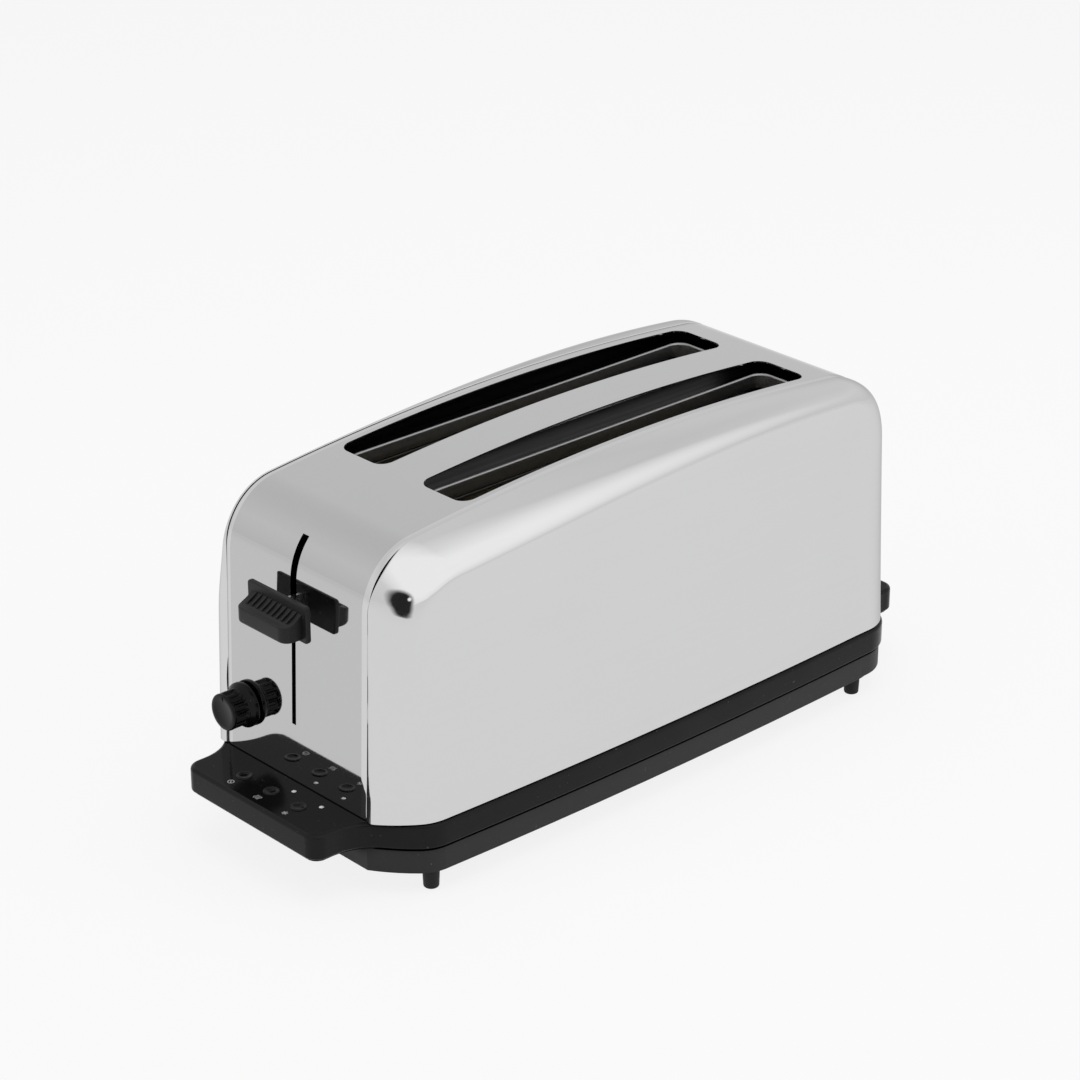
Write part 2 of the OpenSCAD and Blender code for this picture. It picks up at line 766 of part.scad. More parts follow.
// Return spring round the far guide rod, one tube from the deck to the carriage bush
module return_spring() {
    sides = 6;
    rings = 8;
    wire_r = spring_wire / 2;
    room = 1.2;
    end_gap = 0.1;
    mean_r = rod_d / 2 + wire_r + room;
    low = base_top + wire_r + end_gap;
    high = bracket_low - wire_r - end_gap;
    steps = spring_curls * rings;
    pitch = (high - low) / spring_curls;
    points = [for (i = [0:steps], j = [0:sides - 1]) let (
        a = 360 * i / rings,
        r = mean_r + wire_r * cos(360 * j / sides)
    ) [r * cos(a), r * sin(a), blend(low, high, i / steps) + wire_r * sin(360 * j / sides)]];
    walls = [for (i = [0:steps - 1], j = [0:sides - 1]) let (
        a = sides * i + j,
        b = sides * i + (j + 1) % sides
    ) each [[a, b, a + sides], [b, b + sides, a + sides]]];
    last = sides * steps;
    ends = [for (j = [1:sides - 2]) each [[0, j + 1, j], [last, last + j, last + j + 1]]];
    echo(spring_least_gap = pitch - spring_wire);
    color("#b0b3b7") translate([rod_x, rod_pitch / 2, 0]) polyhedron(points, concat(walls, ends));
}

// Latch magnet on the deck below the carriage
magnet_top = bracket_low - keeper_t - lever_drop - seat;
module latch_magnet() {
    flange_d = 18;
    coil_d = 15;
    core_d = 8;
    core_proud = 3;
    color("#a0522d") translate([rod_x, 0, base_top]) {
        cylinder(d = flange_d, h = plate_t);
        cylinder(d = coil_d, h = magnet_top - base_top - core_proud);
        cylinder(d = core_d, h = magnet_top - base_top);
    }
}

// Mains switch beside the magnet, worked by the carriage at the end of its travel
module mains_switch() {
    switch_l = 18;
    switch_w = 12;
    key_w = 4;
    key_h = 3;
    room = 4;
    y = -rod_pitch / 2 - bush_d / 2 - key_h;
    mid = y - switch_w / 2;
    top = bracket_low - lever_drop - room;
    color("#d9d9d2") {
        block([rod_x - switch_l / 2, y - switch_w, base_top], [rod_x + switch_l / 2, y, top - key_h]);
        block([rod_x - key_w / 2, mid - key_w / 2, top - key_h], [rod_x + key_w / 2, mid + key_w / 2, top]);
    }
}

module power_board() {
    half_w = 16;
    above = 36;
    color("#2f6b3a") difference() {
        block([board_x, knob_y - half_w, base_top], [board_x + board_t, knob_y + half_w, knob_z + above]);
        along_x(board_x - cut, knob_y, knob_z) cylinder(d = shaft_d + 1, h = board_t + 2 * cut);
    }
}

// Timer on the power board behind the knob
module timer_pot() {
    nose = 5;
    color("#4a4a4d") along_x(board_x - pot_l, knob_y, knob_z) difference() {
        union() {
            cylinder(d = pot_d, h = pot_l);
            translate([0, 0, -nose]) cylinder(d = shaft_d + 3, h = nose);
        }
        translate([0, 0, -nose - cut]) cylinder(d = shaft_d + 2 * run, h = pot_l + nose - pot_back + cut);
    }
}

module knob_shaft() {
    tip = knob_x - knob_l + knob_wall;
    color("#c8cacd") along_x(tip, knob_y, knob_z) cylinder(d = shaft_d, h = board_x - pot_back - seat - tip);
}

// Fluted knob with a skirt against the end wall
module browning_knob() {
    skirt_h = 3;
    cone_h = 2;
    edge = 1;
    flute_d = 3.4;
    flute_out = 1;
    grip = knob_d / 2;
    flute_low = skirt_h + cone_h + edge;
    flute_l = knob_l - 2 * edge - flute_low;
    bore_l = knob_l - knob_wall + 2 * run;
    color("#222224") along_x(knob_x, knob_y, knob_z) rotate([180, 0, 0]) difference() {
        rotate_extrude() polygon([[0, 0], [skirt_d / 2, 0], [skirt_d / 2, skirt_h], [grip, skirt_h + cone_h],
            [grip, knob_l - edge], [grip - edge, knob_l], [0, knob_l]]);
        for (i = [0:flutes - 1]) rotate(360 * (i + 0.5) / flutes)
            translate([grip + flute_out, 0, flute_low]) cylinder(d = flute_d, h = flute_l);
        translate([0, 0, -cut]) cylinder(d = shaft_d + 2 * run, h = bore_l + cut);
    }
}

// Control board inside the front shelf with a switch under each button
module control_board() {
    side_room = 11;
    wide = button_pitch + side_room;
    before = 8;
    behind = 14;
    switch_w = 6;
    switch_h = 1.2;
    top = control_z + board_t;
    color("#2f6b3a") block([button_x - before, -wide, control_z], [button_x + behind, wide, top]);
    color("#1f1f20") at_buttons(top) {
        translate([-switch_w / 2, -switch_w / 2, 0]) cube([switch_w, switch_w, switch_h]);
        cylinder(d = stem_d, h = stem_low - button_travel - seat - top);
    }
}

module lamp_lenses() {
    proud = 0.2;
    low = control_z + board_t;
    color("#e8ece6") at_lamps(low) cylinder(d = lamp_d, h = base_top + proud - low);
}

// Round push button with a flange under the deck and a stem over its switch
module button(i) {
    low = deck_low - run - flange_step;
    lip = 1.2;
    color("#1f1f20") translate([button_x, i * button_pitch, 0]) {
        translate([0, 0, low]) cylinder(d = button_d + 2 * lip, h = flange_step);
        translate([0, 0, low]) cylinder(d = button_d, h = base_top + button_proud - low);
        translate([0, 0, stem_low]) cylinder(d = stem_d, h = stem_l + flange_step / 2);
    }
}

module stop_button() { button(1); }

module reheat_button() { button(0); }

module defrost_button() { button(-1); }

// Cord gland, flush in the end wall of the rear shelf, with a collar inside
module cord_gland() {
    step = 1.6;
    lip = 0.6;
    inside = shelf_x + rim_lip - wall_t - run;
    color("#1c1c1d") along_x(inside - step, 0, gland_z) difference() {
        union() {
            cylinder(d = gland_d, h = step + wall_t + run);
            cylinder(d = gland_d + 2 * lip, h = step);
        }
        translate([0, 0, -cut]) cylinder(d = gland_bore, h = step + wall_t + 2 * cut);
    }
}

// Bracket that runs on the guide rods and reaches out through the slit
module carriage_bracket() {
    wide = slot_y + 4;
    beam_h = arm_h + 4;
    front = rod_x - bracket_t / 2;
    back = rod_x + bracket_t / 2;
    color("#b4b7bb") difference() {
        union() {
            block([front, -wide, bracket_low], [back, wide, bracket_low + beam_h]);
            block([front, -rod_pitch / 2, bracket_low], [back, rod_pitch / 2, bracket_top]);
            at_rods(bracket_low) cylinder(d = bush_d, h = bracket_top - bracket_low);
            tongue(0);
        }
        at_rods(bracket_low - cut) cylinder(d = rod_d + 2 * run, h = bracket_top - bracket_low + 2 * cut);
    }
}

// Tongue of the bracket with a low tip inside the finger pad, set out by grow
module tongue(grow) {
    mid = flange_x - flange_t / 2 - grow;
    tip = flange_x - flange_t - pad_reach / 2 - grow;
    low = lever_z - tongue_h / 2 - grow;
    near = lever_y - tongue_t / 2 - grow;
    far = lever_y + tongue_t / 2 + grow;
    block([mid, near, low], [rod_x, far, lever_z + tongue_h / 2 + grow]);
    block([tip, near, low], [rod_x, far, low + tongue_h / 2 + 2 * grow]);
}

// Finger lever: a tall flange and a dished pad with ribs, pushed on the bracket's tongue
module lever_paddle() {
    rib_n = 9;
    rib_t = 1.2;
    rib_l = 0.7 * pad_reach;
    rib_up = 0.5;
    rib_pitch = pad_w / (rib_n + 1);
    front = flange_x - flange_t;
    color("#2a2a2c") difference() {
        union() {
            translate([flange_x, lever_y, lever_z]) rotate([0, -90, 0])
                linear_extrude(flange_t) rounded(flange_h, flange_w, flange_round);
            intersection() {
                translate([front, lever_y, lever_z]) rotate([90, 0, 0])
                    linear_extrude(pad_w, center = true) pad_section();
                translate([front, lever_y, lever_z - flange_h]) linear_extrude(2 * flange_h)
                    rounded(2 * pad_reach, pad_w, pad_round);
            }
            for (i = [0:rib_n - 1])
                translate([front, lever_y + (i - (rib_n - 1) / 2) * rib_pitch, lever_z]) rotate([90, 0, 0])
                    linear_extrude(rib_t, center = true)
                        polygon([[0, 0], [0, pad_top + pad_rise + rib_up], [-rib_l, pad_top], [-rib_l, 0]]);
        }
        tongue(run);
    }
}

// Side section of the finger pad with its dished top, drawn from the flange at zero
module pad_section() {
    nose = 2;
    sag = 1.6;
    above = pad_rise + 1;
    start = [-pad_reach, pad_top - 1];
    stop = [0, pad_top + pad_rise];
    chord = stop - start;
    half = norm(chord) / 2;
    dish_r = (pow(half, 2) + pow(sag, 2)) / (2 * sag);
    across = [-chord[1], chord[0]] / norm(chord);
    difference() {
        polygon([[0, -pad_deep], [nose - pad_reach, -pad_deep], [-pad_reach, nose - pad_deep],
            [-pad_reach, pad_top + above], [0, pad_top + above]]);
        translate((start + stop) / 2 + across * (dish_r - sag)) circle(dish_r, $fn = 96);
    }
}

// Bread rack: an arm through both bulkheads with cross bars for the bread
module bread_rack(side) {
    bar_n = 12;
    bar_w = 4;
    bar_t = 1.2;
    bar_l = slot_w - 12;
    tail = 4;
    pitch = slot_l / bar_n;
    y = side * slot_y;
    top = bracket_low + arm_h;
    color("#b4b7bb") {
        block([rod_x + bracket_t / 2, y - rack_t / 2, bracket_low],
            [rear_in + plate_t + tail, y + rack_t / 2, top]);
        for (i = [0:bar_n - 1])
            translate([slot_x - slot_l / 2 + pitch * (i + 0.5) - bar_w / 2, y - bar_l / 2, top - bar_t])
                cube([bar_w, bar_l, bar_t]);
    }
}

module bread_rack_near() { bread_rack(-1); }

module bread_rack_far() { bread_rack(1); }

module keeper_plate() {
    half_l = 7;
    half_w = 11;
    color("#85898e")
        block([rod_x - half_l, -half_w, bracket_low - keeper_t], [rod_x + half_l, half_w, bracket_low]);
}

// Crumb tray that slides out under the rear shelf
module crumb_tray() {
    sheet = 0.8;
    color("#c4c7ca") difference() {
        union() {
            block([tray_front, -tray_y, tray_low], [half_l, tray_y, tray_low + tray_h]);
            block([half_l - 2 * sheet, -tray_y, tray_low], [half_l, tray_y, pan_top - 0.5]);
        }
        block([tray_front + sheet, sheet - tray_y, tray_low + sheet],
            [half_l - 2 * sheet, tray_y - sheet, tray_low + tray_h + cut]);
    }
}

module tray_handle() {
    wide = 60;
    reach = 12;
    lip = 3;
    bevel = 2;
    low = tray_low + 1;
    high = pan_top - 1;
    color("#1f1f20") translate([half_l, 0, 0]) rotate([90, 0, 0]) linear_extrude(wide, center = true)
        polygon([[0, low], [reach - lip, low], [reach, low + bevel], [reach, high], [reach - lip, high],
            [reach - lip - 1, high - lip], [0, high - lip]]);
}

wrap_panel();
side_shell_near();
side_shell_far();
base_moulding();
shelf_cover_front();
shelf_cover_rear();
base_pan();
foot_front_near();
foot_front_far();
foot_rear_near();
foot_rear_far();
pan_screws();
cover_screws();
top_frame();
front_bulkhead();
rear_bulkhead();
reflector_near();
reflector_far();
heater_card_near();
heater_card_middle();
heater_card_far();
heater_ribbon_near();
heater_ribbon_middle();
heater_ribbon_far();
guard_near_outer();
guard_near_inner();
guard_far_inner();
guard_far_outer();
guide_rods();
rod_bridge();
return_spring();
latch_magnet();
mains_switch();
power_board();
timer_pot();
control_board();
lamp_lenses();
cord_gland();
carriage_bracket();
lever_paddle();
bread_rack_near();
bread_rack_far();
keeper_plate();
browning_knob();
knob_shaft();
stop_button();
reheat_button();
defrost_button();
crumb_tray();
tray_handle();
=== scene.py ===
from math import acos, asin, atan2, cos, dist, pi, radians, sin, sqrt, tan

import bmesh
import bpy
import numpy as np
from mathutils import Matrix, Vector
from mathutils.geometry import delaunay_2d_cdt


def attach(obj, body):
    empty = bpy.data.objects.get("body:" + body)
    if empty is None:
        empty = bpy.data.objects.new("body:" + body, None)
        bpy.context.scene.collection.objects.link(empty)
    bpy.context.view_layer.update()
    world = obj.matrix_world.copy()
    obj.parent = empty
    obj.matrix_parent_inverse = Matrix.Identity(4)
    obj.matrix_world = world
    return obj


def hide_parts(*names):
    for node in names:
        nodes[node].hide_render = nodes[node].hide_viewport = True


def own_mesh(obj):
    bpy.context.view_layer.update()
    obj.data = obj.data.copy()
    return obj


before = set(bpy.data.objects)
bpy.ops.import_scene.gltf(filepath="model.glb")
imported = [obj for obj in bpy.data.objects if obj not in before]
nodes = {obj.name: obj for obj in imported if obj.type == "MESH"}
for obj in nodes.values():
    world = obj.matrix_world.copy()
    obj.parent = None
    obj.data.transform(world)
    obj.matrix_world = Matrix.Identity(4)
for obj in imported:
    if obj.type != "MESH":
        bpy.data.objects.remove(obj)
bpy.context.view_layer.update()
scene = bpy.context.scene

# Sizes in millimetres, as in the part's source, with the crown and the rim a hair smaller to stay in its box
half_l, strap_y, side_bow = 192.5, 58.7, 3.3
knee_r, facet_r = 22.0, 100.0
edge_slope, knee_a = radians(32.0), radians(48.0)
crown_h, crown_r, corner_r = 203.975, 1430.0, 36.0
end_lean, side_lean = radians(2.0), radians(3.3)
sheet_t, seam_gap = 0.8, 0.4
slot_l, slot_w, slot_gap, slot_x, slot_corner = 260.0, 36.7, 29.0, 14.0, 8.0
slot_y = (slot_gap + slot_w) / 2
collar_top, frame_z = 192.5, 184.0
foot_h, pan_top, base_top, wall_t, rim_lip = 13.0, 26.5, 42.5, 2.5, 1.45
deck_low = base_top - wall_t
shelf_x, shelf_y, shelf_corner, shelf_sweep = 223.5, 54.0, 7.0, 30.0
lever_y, lever_z, slit_w, slit_low, slit_high = 1.0, 145.0, 3.3, 76.0, 182.5
head_w, head_low = 5.0, 150.25
flange_w, flange_h, flange_t, pad_w, pad_reach = 49.0, 21.0, 3.0, 41.0, 12.0
knob_y, knob_z, knob_d, skirt_d, knob_l, shaft_d, flutes = 41.5, 73.0, 21.0, 25.5, 15.5, 6.0, 12
button_x, button_d, button_pitch, button_gap = -209.0, 9.0, 23.0, 0.15
lamp_d, lamp_back, lamp_side = 3.0, 9.0, 8.0
front_in, rear_in, card_y = -124.0, 152.0, 61.2
rod_x, rod_y, rod_d, bracket_low = -150.0, 20.0, 5.0, 126.0
foot_x, foot_y, knob_gap = 164.0, 76.7, 0.8

# Sizes that only the looks have: fuller rear corners, softer shell corners, the line at the casing's foot
rear_r, rear_sweep, corner_open, foot_gap = 25.0, 26.0, 30.0, 0.6

facet_back = facet_r * (cos(edge_slope) - cos(knee_a))
facet_rise = facet_r * (sin(knee_a) - sin(edge_slope))
edge_w = facet_rise + knee_r * (1 - sin(knee_a))
side_y = strap_y + edge_w
knee_c = np.array([half_l - facet_back - knee_r * cos(knee_a), side_y - knee_r])
facet_c = knee_c - (facet_r - knee_r) * np.array([cos(knee_a), sin(knee_a)])
bow_r = knee_r + (knee_c[0] ** 2 + side_bow**2) / (2 * side_bow)
bow_y = side_y + side_bow - bow_r
bow_c = np.array([0.0, bow_y])
back_max = facet_back + knee_r * cos(knee_a)
rear_x = half_l - rear_r
rear_c = np.array([rear_x, bow_y + sqrt((bow_r - rear_r) ** 2 - rear_x**2)])
mm = 0.001


def wall_x(z):
    return half_l - tan(end_lean) * (z - base_top)


def ray(a):
    return np.array([cos(a), sin(a)])


def angle_of(v):
    return atan2(v[1], v[0])


def unit(v):
    v = np.asarray(v, float)
    n = np.linalg.norm(v, axis=-1, keepdims=True)
    return v / np.where(n < 1e-12, 1, n)


knee_meet, rear_meet = angle_of(knee_c - bow_c), angle_of(rear_c - bow_c)

# Making objects


def put(name, data):
    obj = bpy.data.objects.new(name, data)
    scene.collection.objects.link(obj)
    return obj


def make(name, b, material, sharp=None, body="housing"):
    """A piece from a build; it has the build's normals or, with sharp, edges above that angle in degrees."""
    mesh = bpy.data.meshes.new(name)
    mesh.from_pydata([tuple(c * mm for c in v) for v in b.v], [], b.f)
    mesh.validate()
    if sharp is not None:
        work = bmesh.new()
        work.from_mesh(mesh)
        bmesh.ops.remove_doubles(work, verts=work.verts, dist=1e-7)
        bmesh.ops.recalc_face_normals(work, faces=work.faces)
        work.to_mesh(mesh)
        work.free()
    mesh.polygons.foreach_set("use_smooth", [True] * len(mesh.polygons))
    if sharp is None:
        mesh.normals_split_custom_set_from_vertices(b.n)
    else:
        mesh.set_sharp_from_angle(angle=radians(sharp))
    mesh.update()
    obj = put(name, mesh)
    mesh.materials.append(material)
    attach(obj, body)
    return obj


class Build:
    """Collects vertices in millimetres with their normals, and faces, for one mesh."""

    def __init__(self):
        self.v, self.n, self.f = [], [], []

    def add(self, points, normals):
        start = len(self.v)
        self.v.extend(np.asarray(points, float).tolist())
        self.n.extend(unit(normals).tolist())
        return start

    def face(self, ids, towards):
        """Adds a face turned so that it looks along towards."""
        p = np.array([self.v[i] for i in ids])
        area = np.zeros(3)
        for k in range(1, len(ids) - 1):
            area += np.cross(p[k] - p[0], p[k + 1] - p[0])
        if np.linalg.norm(area) < 1e-9:
            return
        self.f.append(tuple(ids) if area @ np.asarray(towards) >= 0 else tuple(reversed(ids)))

    def grid(self, points, normals, closed=False):
        """points and normals are rows by columns by 3; closed joins the last column to the first."""
        points, normals = np.asarray(points, float), np.asarray(normals, float)
        rows, cols = points.shape[:2]
        s = self.add(points.reshape(-1, 3), normals.reshape(-1, 3))
        for i in range(rows - 1):
            for j in range(cols if closed else cols - 1):
                k = (j + 1) % cols
                ids = [s + i * cols + j, s + i * cols + k, s + (i + 1) * cols + k, s + (i + 1) * cols + j]
                self.face(ids, normals[i, j] + normals[i + 1, k])
        return s

    def patch(self, points, normals, tris):
        """Adds triangles, each turned to look along the normal of its first corner."""
        start = self.add(points, normals)
        for f in tris:
            self.face([start + i for i in f], normals[f[0]])

    def flat(self, outer, holes, z, up):
        """Adds a level face with holes that looks up or down."""
        pts, tris = fill(outer, holes)
        self.patch([[x, y, z] for x, y in pts], [[0, 0, up]] * len(pts), tris)

    def band(self, profile, outline):
        """Adds a closed wall; profile is (grow, z) pairs and outline gives the ring for a grow."""
        rows, norms = [], []
        for (grow, z), (go, rise) in zip(profile, np.gradient(np.array(profile), axis=0)):
            ring = outline(grow)
            rows.append([[x, y, z] for x, y in ring])
            norms.append([[nx * rise, ny * rise, -go] for nx, ny in loop_normals(ring)])
        self.grid(rows, norms, closed=True)


def inside(points, loop):
    """Which of the points lie inside a closed loop."""
    x, y = np.asarray(points, float).T
    hit = np.zeros(len(x), bool)
    for (x0, y0), (x1, y1) in zip(loop, np.roll(loop, -1, axis=0)):
        if y0 != y1:
            hit ^= ((y0 > y) != (y1 > y)) & (x < (x1 - x0) * (y - y0) / (y1 - y0) + x0)
    return hit


def away(points, loop):
    """Least distance from each point to a closed loop."""
    a, b = np.asarray(loop), np.roll(loop, -1, axis=0)
    d = b - a
    out = np.full(len(points), 1e9)
    for p0, e in zip(a, d):
        t = np.clip(((points - p0) @ e) / max(e @ e, 1e-12), 0, 1)
        out = np.minimum(out, np.linalg.norm(points - p0 - t[:, None] * e, axis=1))
    return out


def fill(outer, holes, extra=()):
    """Triangles of a flat region with holes: returns points and triples."""
    coords, edges = [], []
    for loop in [outer, *holes]:
        s = len(coords)
        coords += [Vector((float(x), float(y))) for x, y in loop]
        edges += [(s + i, s + (i + 1) % len(loop)) for i in range(len(loop))]
    coords += [Vector((float(x), float(y))) for x, y in extra]
    verts, _, faces, *_ = delaunay_2d_cdt(coords, edges, [], 0, 1e-5)
    pts = np.array([tuple(v) for v in verts])
    centres = np.array([pts[list(f)].mean(0) for f in faces])
    keep = inside(centres, outer)
    for h in holes:
        keep &= ~inside(centres, h)
    return pts, [tuple(f) for f, k in zip(faces, keep) if k]


def arc(centre, r, a0, a1, n):
    return [np.asarray(centre) + r * ray(a0 + (a1 - a0) * i / n) for i in range(n + 1)]


def circle(centre, r, n):
    return np.array(arc(centre, r, 0, 2 * pi, n)[:-1])


def box(x0, x1, y0, y1):
    return np.array([(x0, y0), (x1, y0), (x1, y1), (x0, y1)])


def rounded(l, w, r, n):
    """Rounded rectangle about the origin, counter-clockwise."""
    pts = []
    for k, (sx, sy) in enumerate([(1, 1), (-1, 1), (-1, -1), (1, -1)]):
        pts += arc((sx * (l / 2 - r), sy * (w / 2 - r)), r, k * pi / 2, (k + 1) * pi / 2, n)
    return np.array(pts)


def loop_normals(loop):
    """Outward unit normals of a counter-clockwise loop in the plane."""
    t = np.roll(loop, -1, axis=0) - np.roll(loop, 1, axis=0)
    return unit(np.stack([t[:, 1], -t[:, 0]], axis=1))


upright, lying = np.eye(3), np.array([[0, 0, 1], [0, 1, 0], [-1, 0, 0]])


def lathe(b, profile, at, n, axes=upright, radius=None):
    """Turns (r, h) pairs round an axis through a place; radius may alter r by height and angle."""
    rows, norms = [], []
    for (r, h), (dr, dh) in zip(profile, np.gradient(np.array(profile), axis=0)):
        ring, rn = [], []
        for a in 2 * pi * np.arange(n) / n:
            x, y = ray(a)
            q = radius(r, h, a) if radius else r
            ring.append((q * x, q * y, h))
            rn.append((dh * x, dh * y, -dr))
        rows.append(ring)
        norms.append(rn)
    b.grid(np.array(rows) @ axes + at, np.array(norms) @ axes, closed=True)


# Materials


class Tree:
    """A node tree with short ways to add nodes and join them."""

    def __init__(self, tree):
        self.tree = tree
        self.main = tree.nodes.get("Principled BSDF")

    def join(self, value, socket):
        """Links value where it is a socket itself, and sets it otherwise."""
        if isinstance(value, bpy.types.NodeSocket):
            self.tree.links.new(value, socket)
        else:
            socket.default_value = value

    def node(self, kind, **sets):
        n = self.tree.nodes.new("ShaderNode" + kind)
        for name, value in sets.items():
            if name in n.inputs:
                self.join(value, n.inputs[name])
            else:
                setattr(n, name, value)
        return n

    def coords(self, stretch=(1, 1, 1)):
        local = self.node("TexCoord").outputs["Object"]
        return self.node("Mapping", Vector=local, Scale=stretch).outputs["Vector"]

    def noise(self, scale, detail=3.0, rough=0.5, stretch=(1, 1, 1)):
        sets = {"Scale": scale, "Detail": detail, "Roughness": rough, "Vector": self.coords(stretch)}
        return self.node("TexNoise", **sets).outputs["Fac"]

    def ramp(self, fac, stops):
        """Tones along fac; a stop is a place and a grey or a colour."""
        n = self.node("ValToRGB", Fac=fac)
        marks = n.color_ramp.elements
        marks[0].position, marks[1].position = stops[0][0], stops[-1][0]
        for place, _ in stops[1:-1]:
            marks.new(place)
        for mark, (_, tone) in zip(sorted(marks, key=lambda e: e.position), stops):
            mark.color = (*tone, 1) if hasattr(tone, "__len__") else (tone, tone, tone, 1)
        return n.outputs["Color"]

    def remap(self, fac, low, high, start=0.0, end=1.0):
        sets = {"Value": fac, "From Min": start, "From Max": end, "To Min": low, "To Max": high}
        return self.node("MapRange", **sets).outputs["Result"]

    def calc(self, step, a, b=None, kind="Math", result="Value"):
        n = self.node(kind, operation=step)
        self.join(a, n.inputs[0])
        if b is not None:
            self.join(b, n.inputs[1])
        return n.outputs[result]

    def blend(self, a, b, share):
        """Sum of a share of a and the rest of b."""
        return self.calc("ADD", self.calc("MULTIPLY", a, share), self.calc("MULTIPLY", b, 1 - share))

    def mix(self, share, a, b, way="MIX"):
        n = self.node("Mix", data_type="RGBA", blend_type=way, Factor=share, A=a, B=b)
        return n.outputs["Result"]

    def between(self, share, a, b):
        """Shader between a and b."""
        n = self.node("MixShader", Fac=share)
        self.join(a, n.inputs[1])
        self.join(b, n.inputs[2])
        return n.outputs["Shader"]

    def bump(self, height, strength, distance, under=None):
        n = self.node("Bump", Strength=strength, Distance=distance, Height=height)
        if under is not None:
            self.join(under, n.inputs["Normal"])
        self.join(n.outputs["Normal"], self.main.inputs["Normal"])
        return n.outputs["Normal"]

    def paint(self, colour, rough):
        self.join(colour, self.main.inputs["Base Color"])
        self.join(rough, self.main.inputs["Roughness"])

    def show(self, surface):
        self.join(surface, self.tree.nodes["Material Output"].inputs["Surface"])


def shader(name, sets=None):
    """A new material and its tree; sets are values of the main shader."""
    material = bpy.data.materials.new(name)
    material.use_nodes = True
    t = Tree(material.node_tree)
    for key, value in (sets or {}).items():
        t.main.inputs[key].default_value = value
    return material, t


def times(values, share):
    return [v * share for v in values]


def polished(name, tone, rough, spread, stretch, wave=0.0, rim_tone=1.0):
    """Mirror-polished sheet: polishing lines, wipe marks, cloudy tone and, with wave, long draws."""
    m, t = shader(name, {"Metallic": 1.0, "Specular Tint": (rim_tone, rim_tone, rim_tone, 1)})
    lines = t.noise(1.0, 4.0, 0.6, stretch)
    cloud = t.noise(16.0, 2.0)
    wipe = t.noise(1.0, 2.0, stretch=times(stretch, 0.12))
    tones = t.ramp(t.blend(lines, cloud, 0.6), [(0.3, times(tone, 0.98)), (0.7, tone)])
    t.paint(tones, t.remap(t.blend(lines, wipe, 0.5), rough, rough + spread, 0.35, 0.7))
    under = t.bump(t.noise(1.0, 1.5, stretch=(1.5, 80, 80)), 1.0, wave) if wave else None
    t.bump(lines, 0.03, 0.00004, under)
    return m


def moulded(name, tone, rough, grain, depth, gloss=0.5, edge=0.0, shade=0.0):
    """Moulded plastic: a fine spark-eroded grain, cloudy gloss, dust specks and, with shade, painted shade
    that darkens colour and gloss in corners and creases.
    """
    m, t = shader(name, {"Specular IOR Level": gloss})
    fine = t.noise(grain, 2.0, 0.6)
    cloud = t.noise(30.0, 3.0, 0.55)
    speck = t.remap(t.noise(520.0, 1.0, 0.4), 0.0, 0.25, 0.74, 0.8)
    colour = t.ramp(cloud, [(0.25, times(tone, 0.85)), (0.75, times(tone, 1.15))])
    colour = t.mix(speck, colour, (0.25, 0.25, 0.25, 1))
    if shade:
        # painted shade: ambient occlusion darkens the colour and the gloss in corners, creases and under
        # overhangs
        near = t.node("AmbientOcclusion", samples=8, Distance=shade)
        painted_shade_factor = t.remap(near.outputs["AO"], 0.02, 1.0, 0.6, 0.96)
        t.join(t.calc("MULTIPLY", painted_shade_factor, gloss), t.main.inputs["Specular IOR Level"])
        colour = t.mix(1.0, colour, painted_shade_factor, "MULTIPLY")
    t.paint(colour, t.remap(cloud, rough - 0.05, rough + 0.07, 0.3, 0.7))
    under = t.node("Bevel", samples=6, Radius=edge).outputs["Normal"] if edge else None
    t.bump(fine, 0.35, depth, under)
    return m


def sheet_metal(name, tone, rough, stretch, heat=0.0):
    """Plain rolled steel inside: rolling lines, dull patches and, where it runs hot, a straw tint."""
    m, t = shader(name, {"Metallic": 1.0})
    lines = t.noise(1.0, 3.0, 0.6, stretch)
    patch = t.noise(22.0, 4.0, 0.6)
    warm = [c * (1 - loss * heat) for c, loss in zip(tone, (0.1, 0.25, 0.5))]
    tones = t.ramp(patch, [(0.3, warm), (0.55, tone), (0.75, times(tone, 0.8))])
    t.paint(tones, t.remap(lines, rough, rough + 0.18, 0.3, 0.7))
    t.bump(lines, 0.12, 0.00006)
    return m


def mineral(name, tone):
    """Pressed mica board: flakes with slight shine and brown edges of heat."""
    m, t = shader(name)
    flake = t.node("TexVoronoi", Scale=260.0, Vector=t.coords()).outputs["Distance"]
    patch = t.noise(40.0)
    tones = t.ramp(t.blend(flake, patch, 0.5), [(0.25, times(tone, 0.55)), (0.6, tone)])
    t.paint(tones, t.remap(patch, 0.45, 0.7))
    t.bump(flake, 0.2, 0.0001)
    return m


def resin(name, tone, trace):
    """Circuit board: solder mask with paler traces."""
    m, t = shader(name)
    sets = {"Scale": 160.0, "Distortion": 6.0, "Detail": 1.0, "Detail Scale": 0.6}
    lines = t.node("TexWave", Vector=t.coords(), **sets).outputs["Fac"]
    t.paint(t.ramp(lines, [(0.55, tone), (0.62, trace)]), t.remap(t.noise(60.0), 0.3, 0.5))
    t.bump(lines, 0.15, 0.00005)
    return m


def wound(name, tone):
    """Enamelled copper turns: fine rings along the height."""
    m, t = shader(name, {"Metallic": 0.9})
    rings = t.node("TexWave", bands_direction="Z", Scale=420.0, Distortion=0.3, Vector=t.coords())
    rings = rings.outputs["Fac"]
    t.paint(t.ramp(rings, [(0.1, times(tone, 0.35)), (0.6, tone)]), t.remap(t.noise(90.0), 0.25, 0.4))
    t.bump(rings, 0.4, 0.0002)
    return m


def clear_cap(name):
    """Milky lamp cap with a glossy coat."""
    m, t = shader(name, {"Coat Weight": 0.6, "Coat Roughness": 0.08})
    tones = t.ramp(t.noise(700.0), [(0.3, (0.78, 0.79, 0.77)), (0.7, (0.9, 0.9, 0.88))])
    t.paint(tones, t.remap(t.noise(300.0), 0.2, 0.35))
    return m
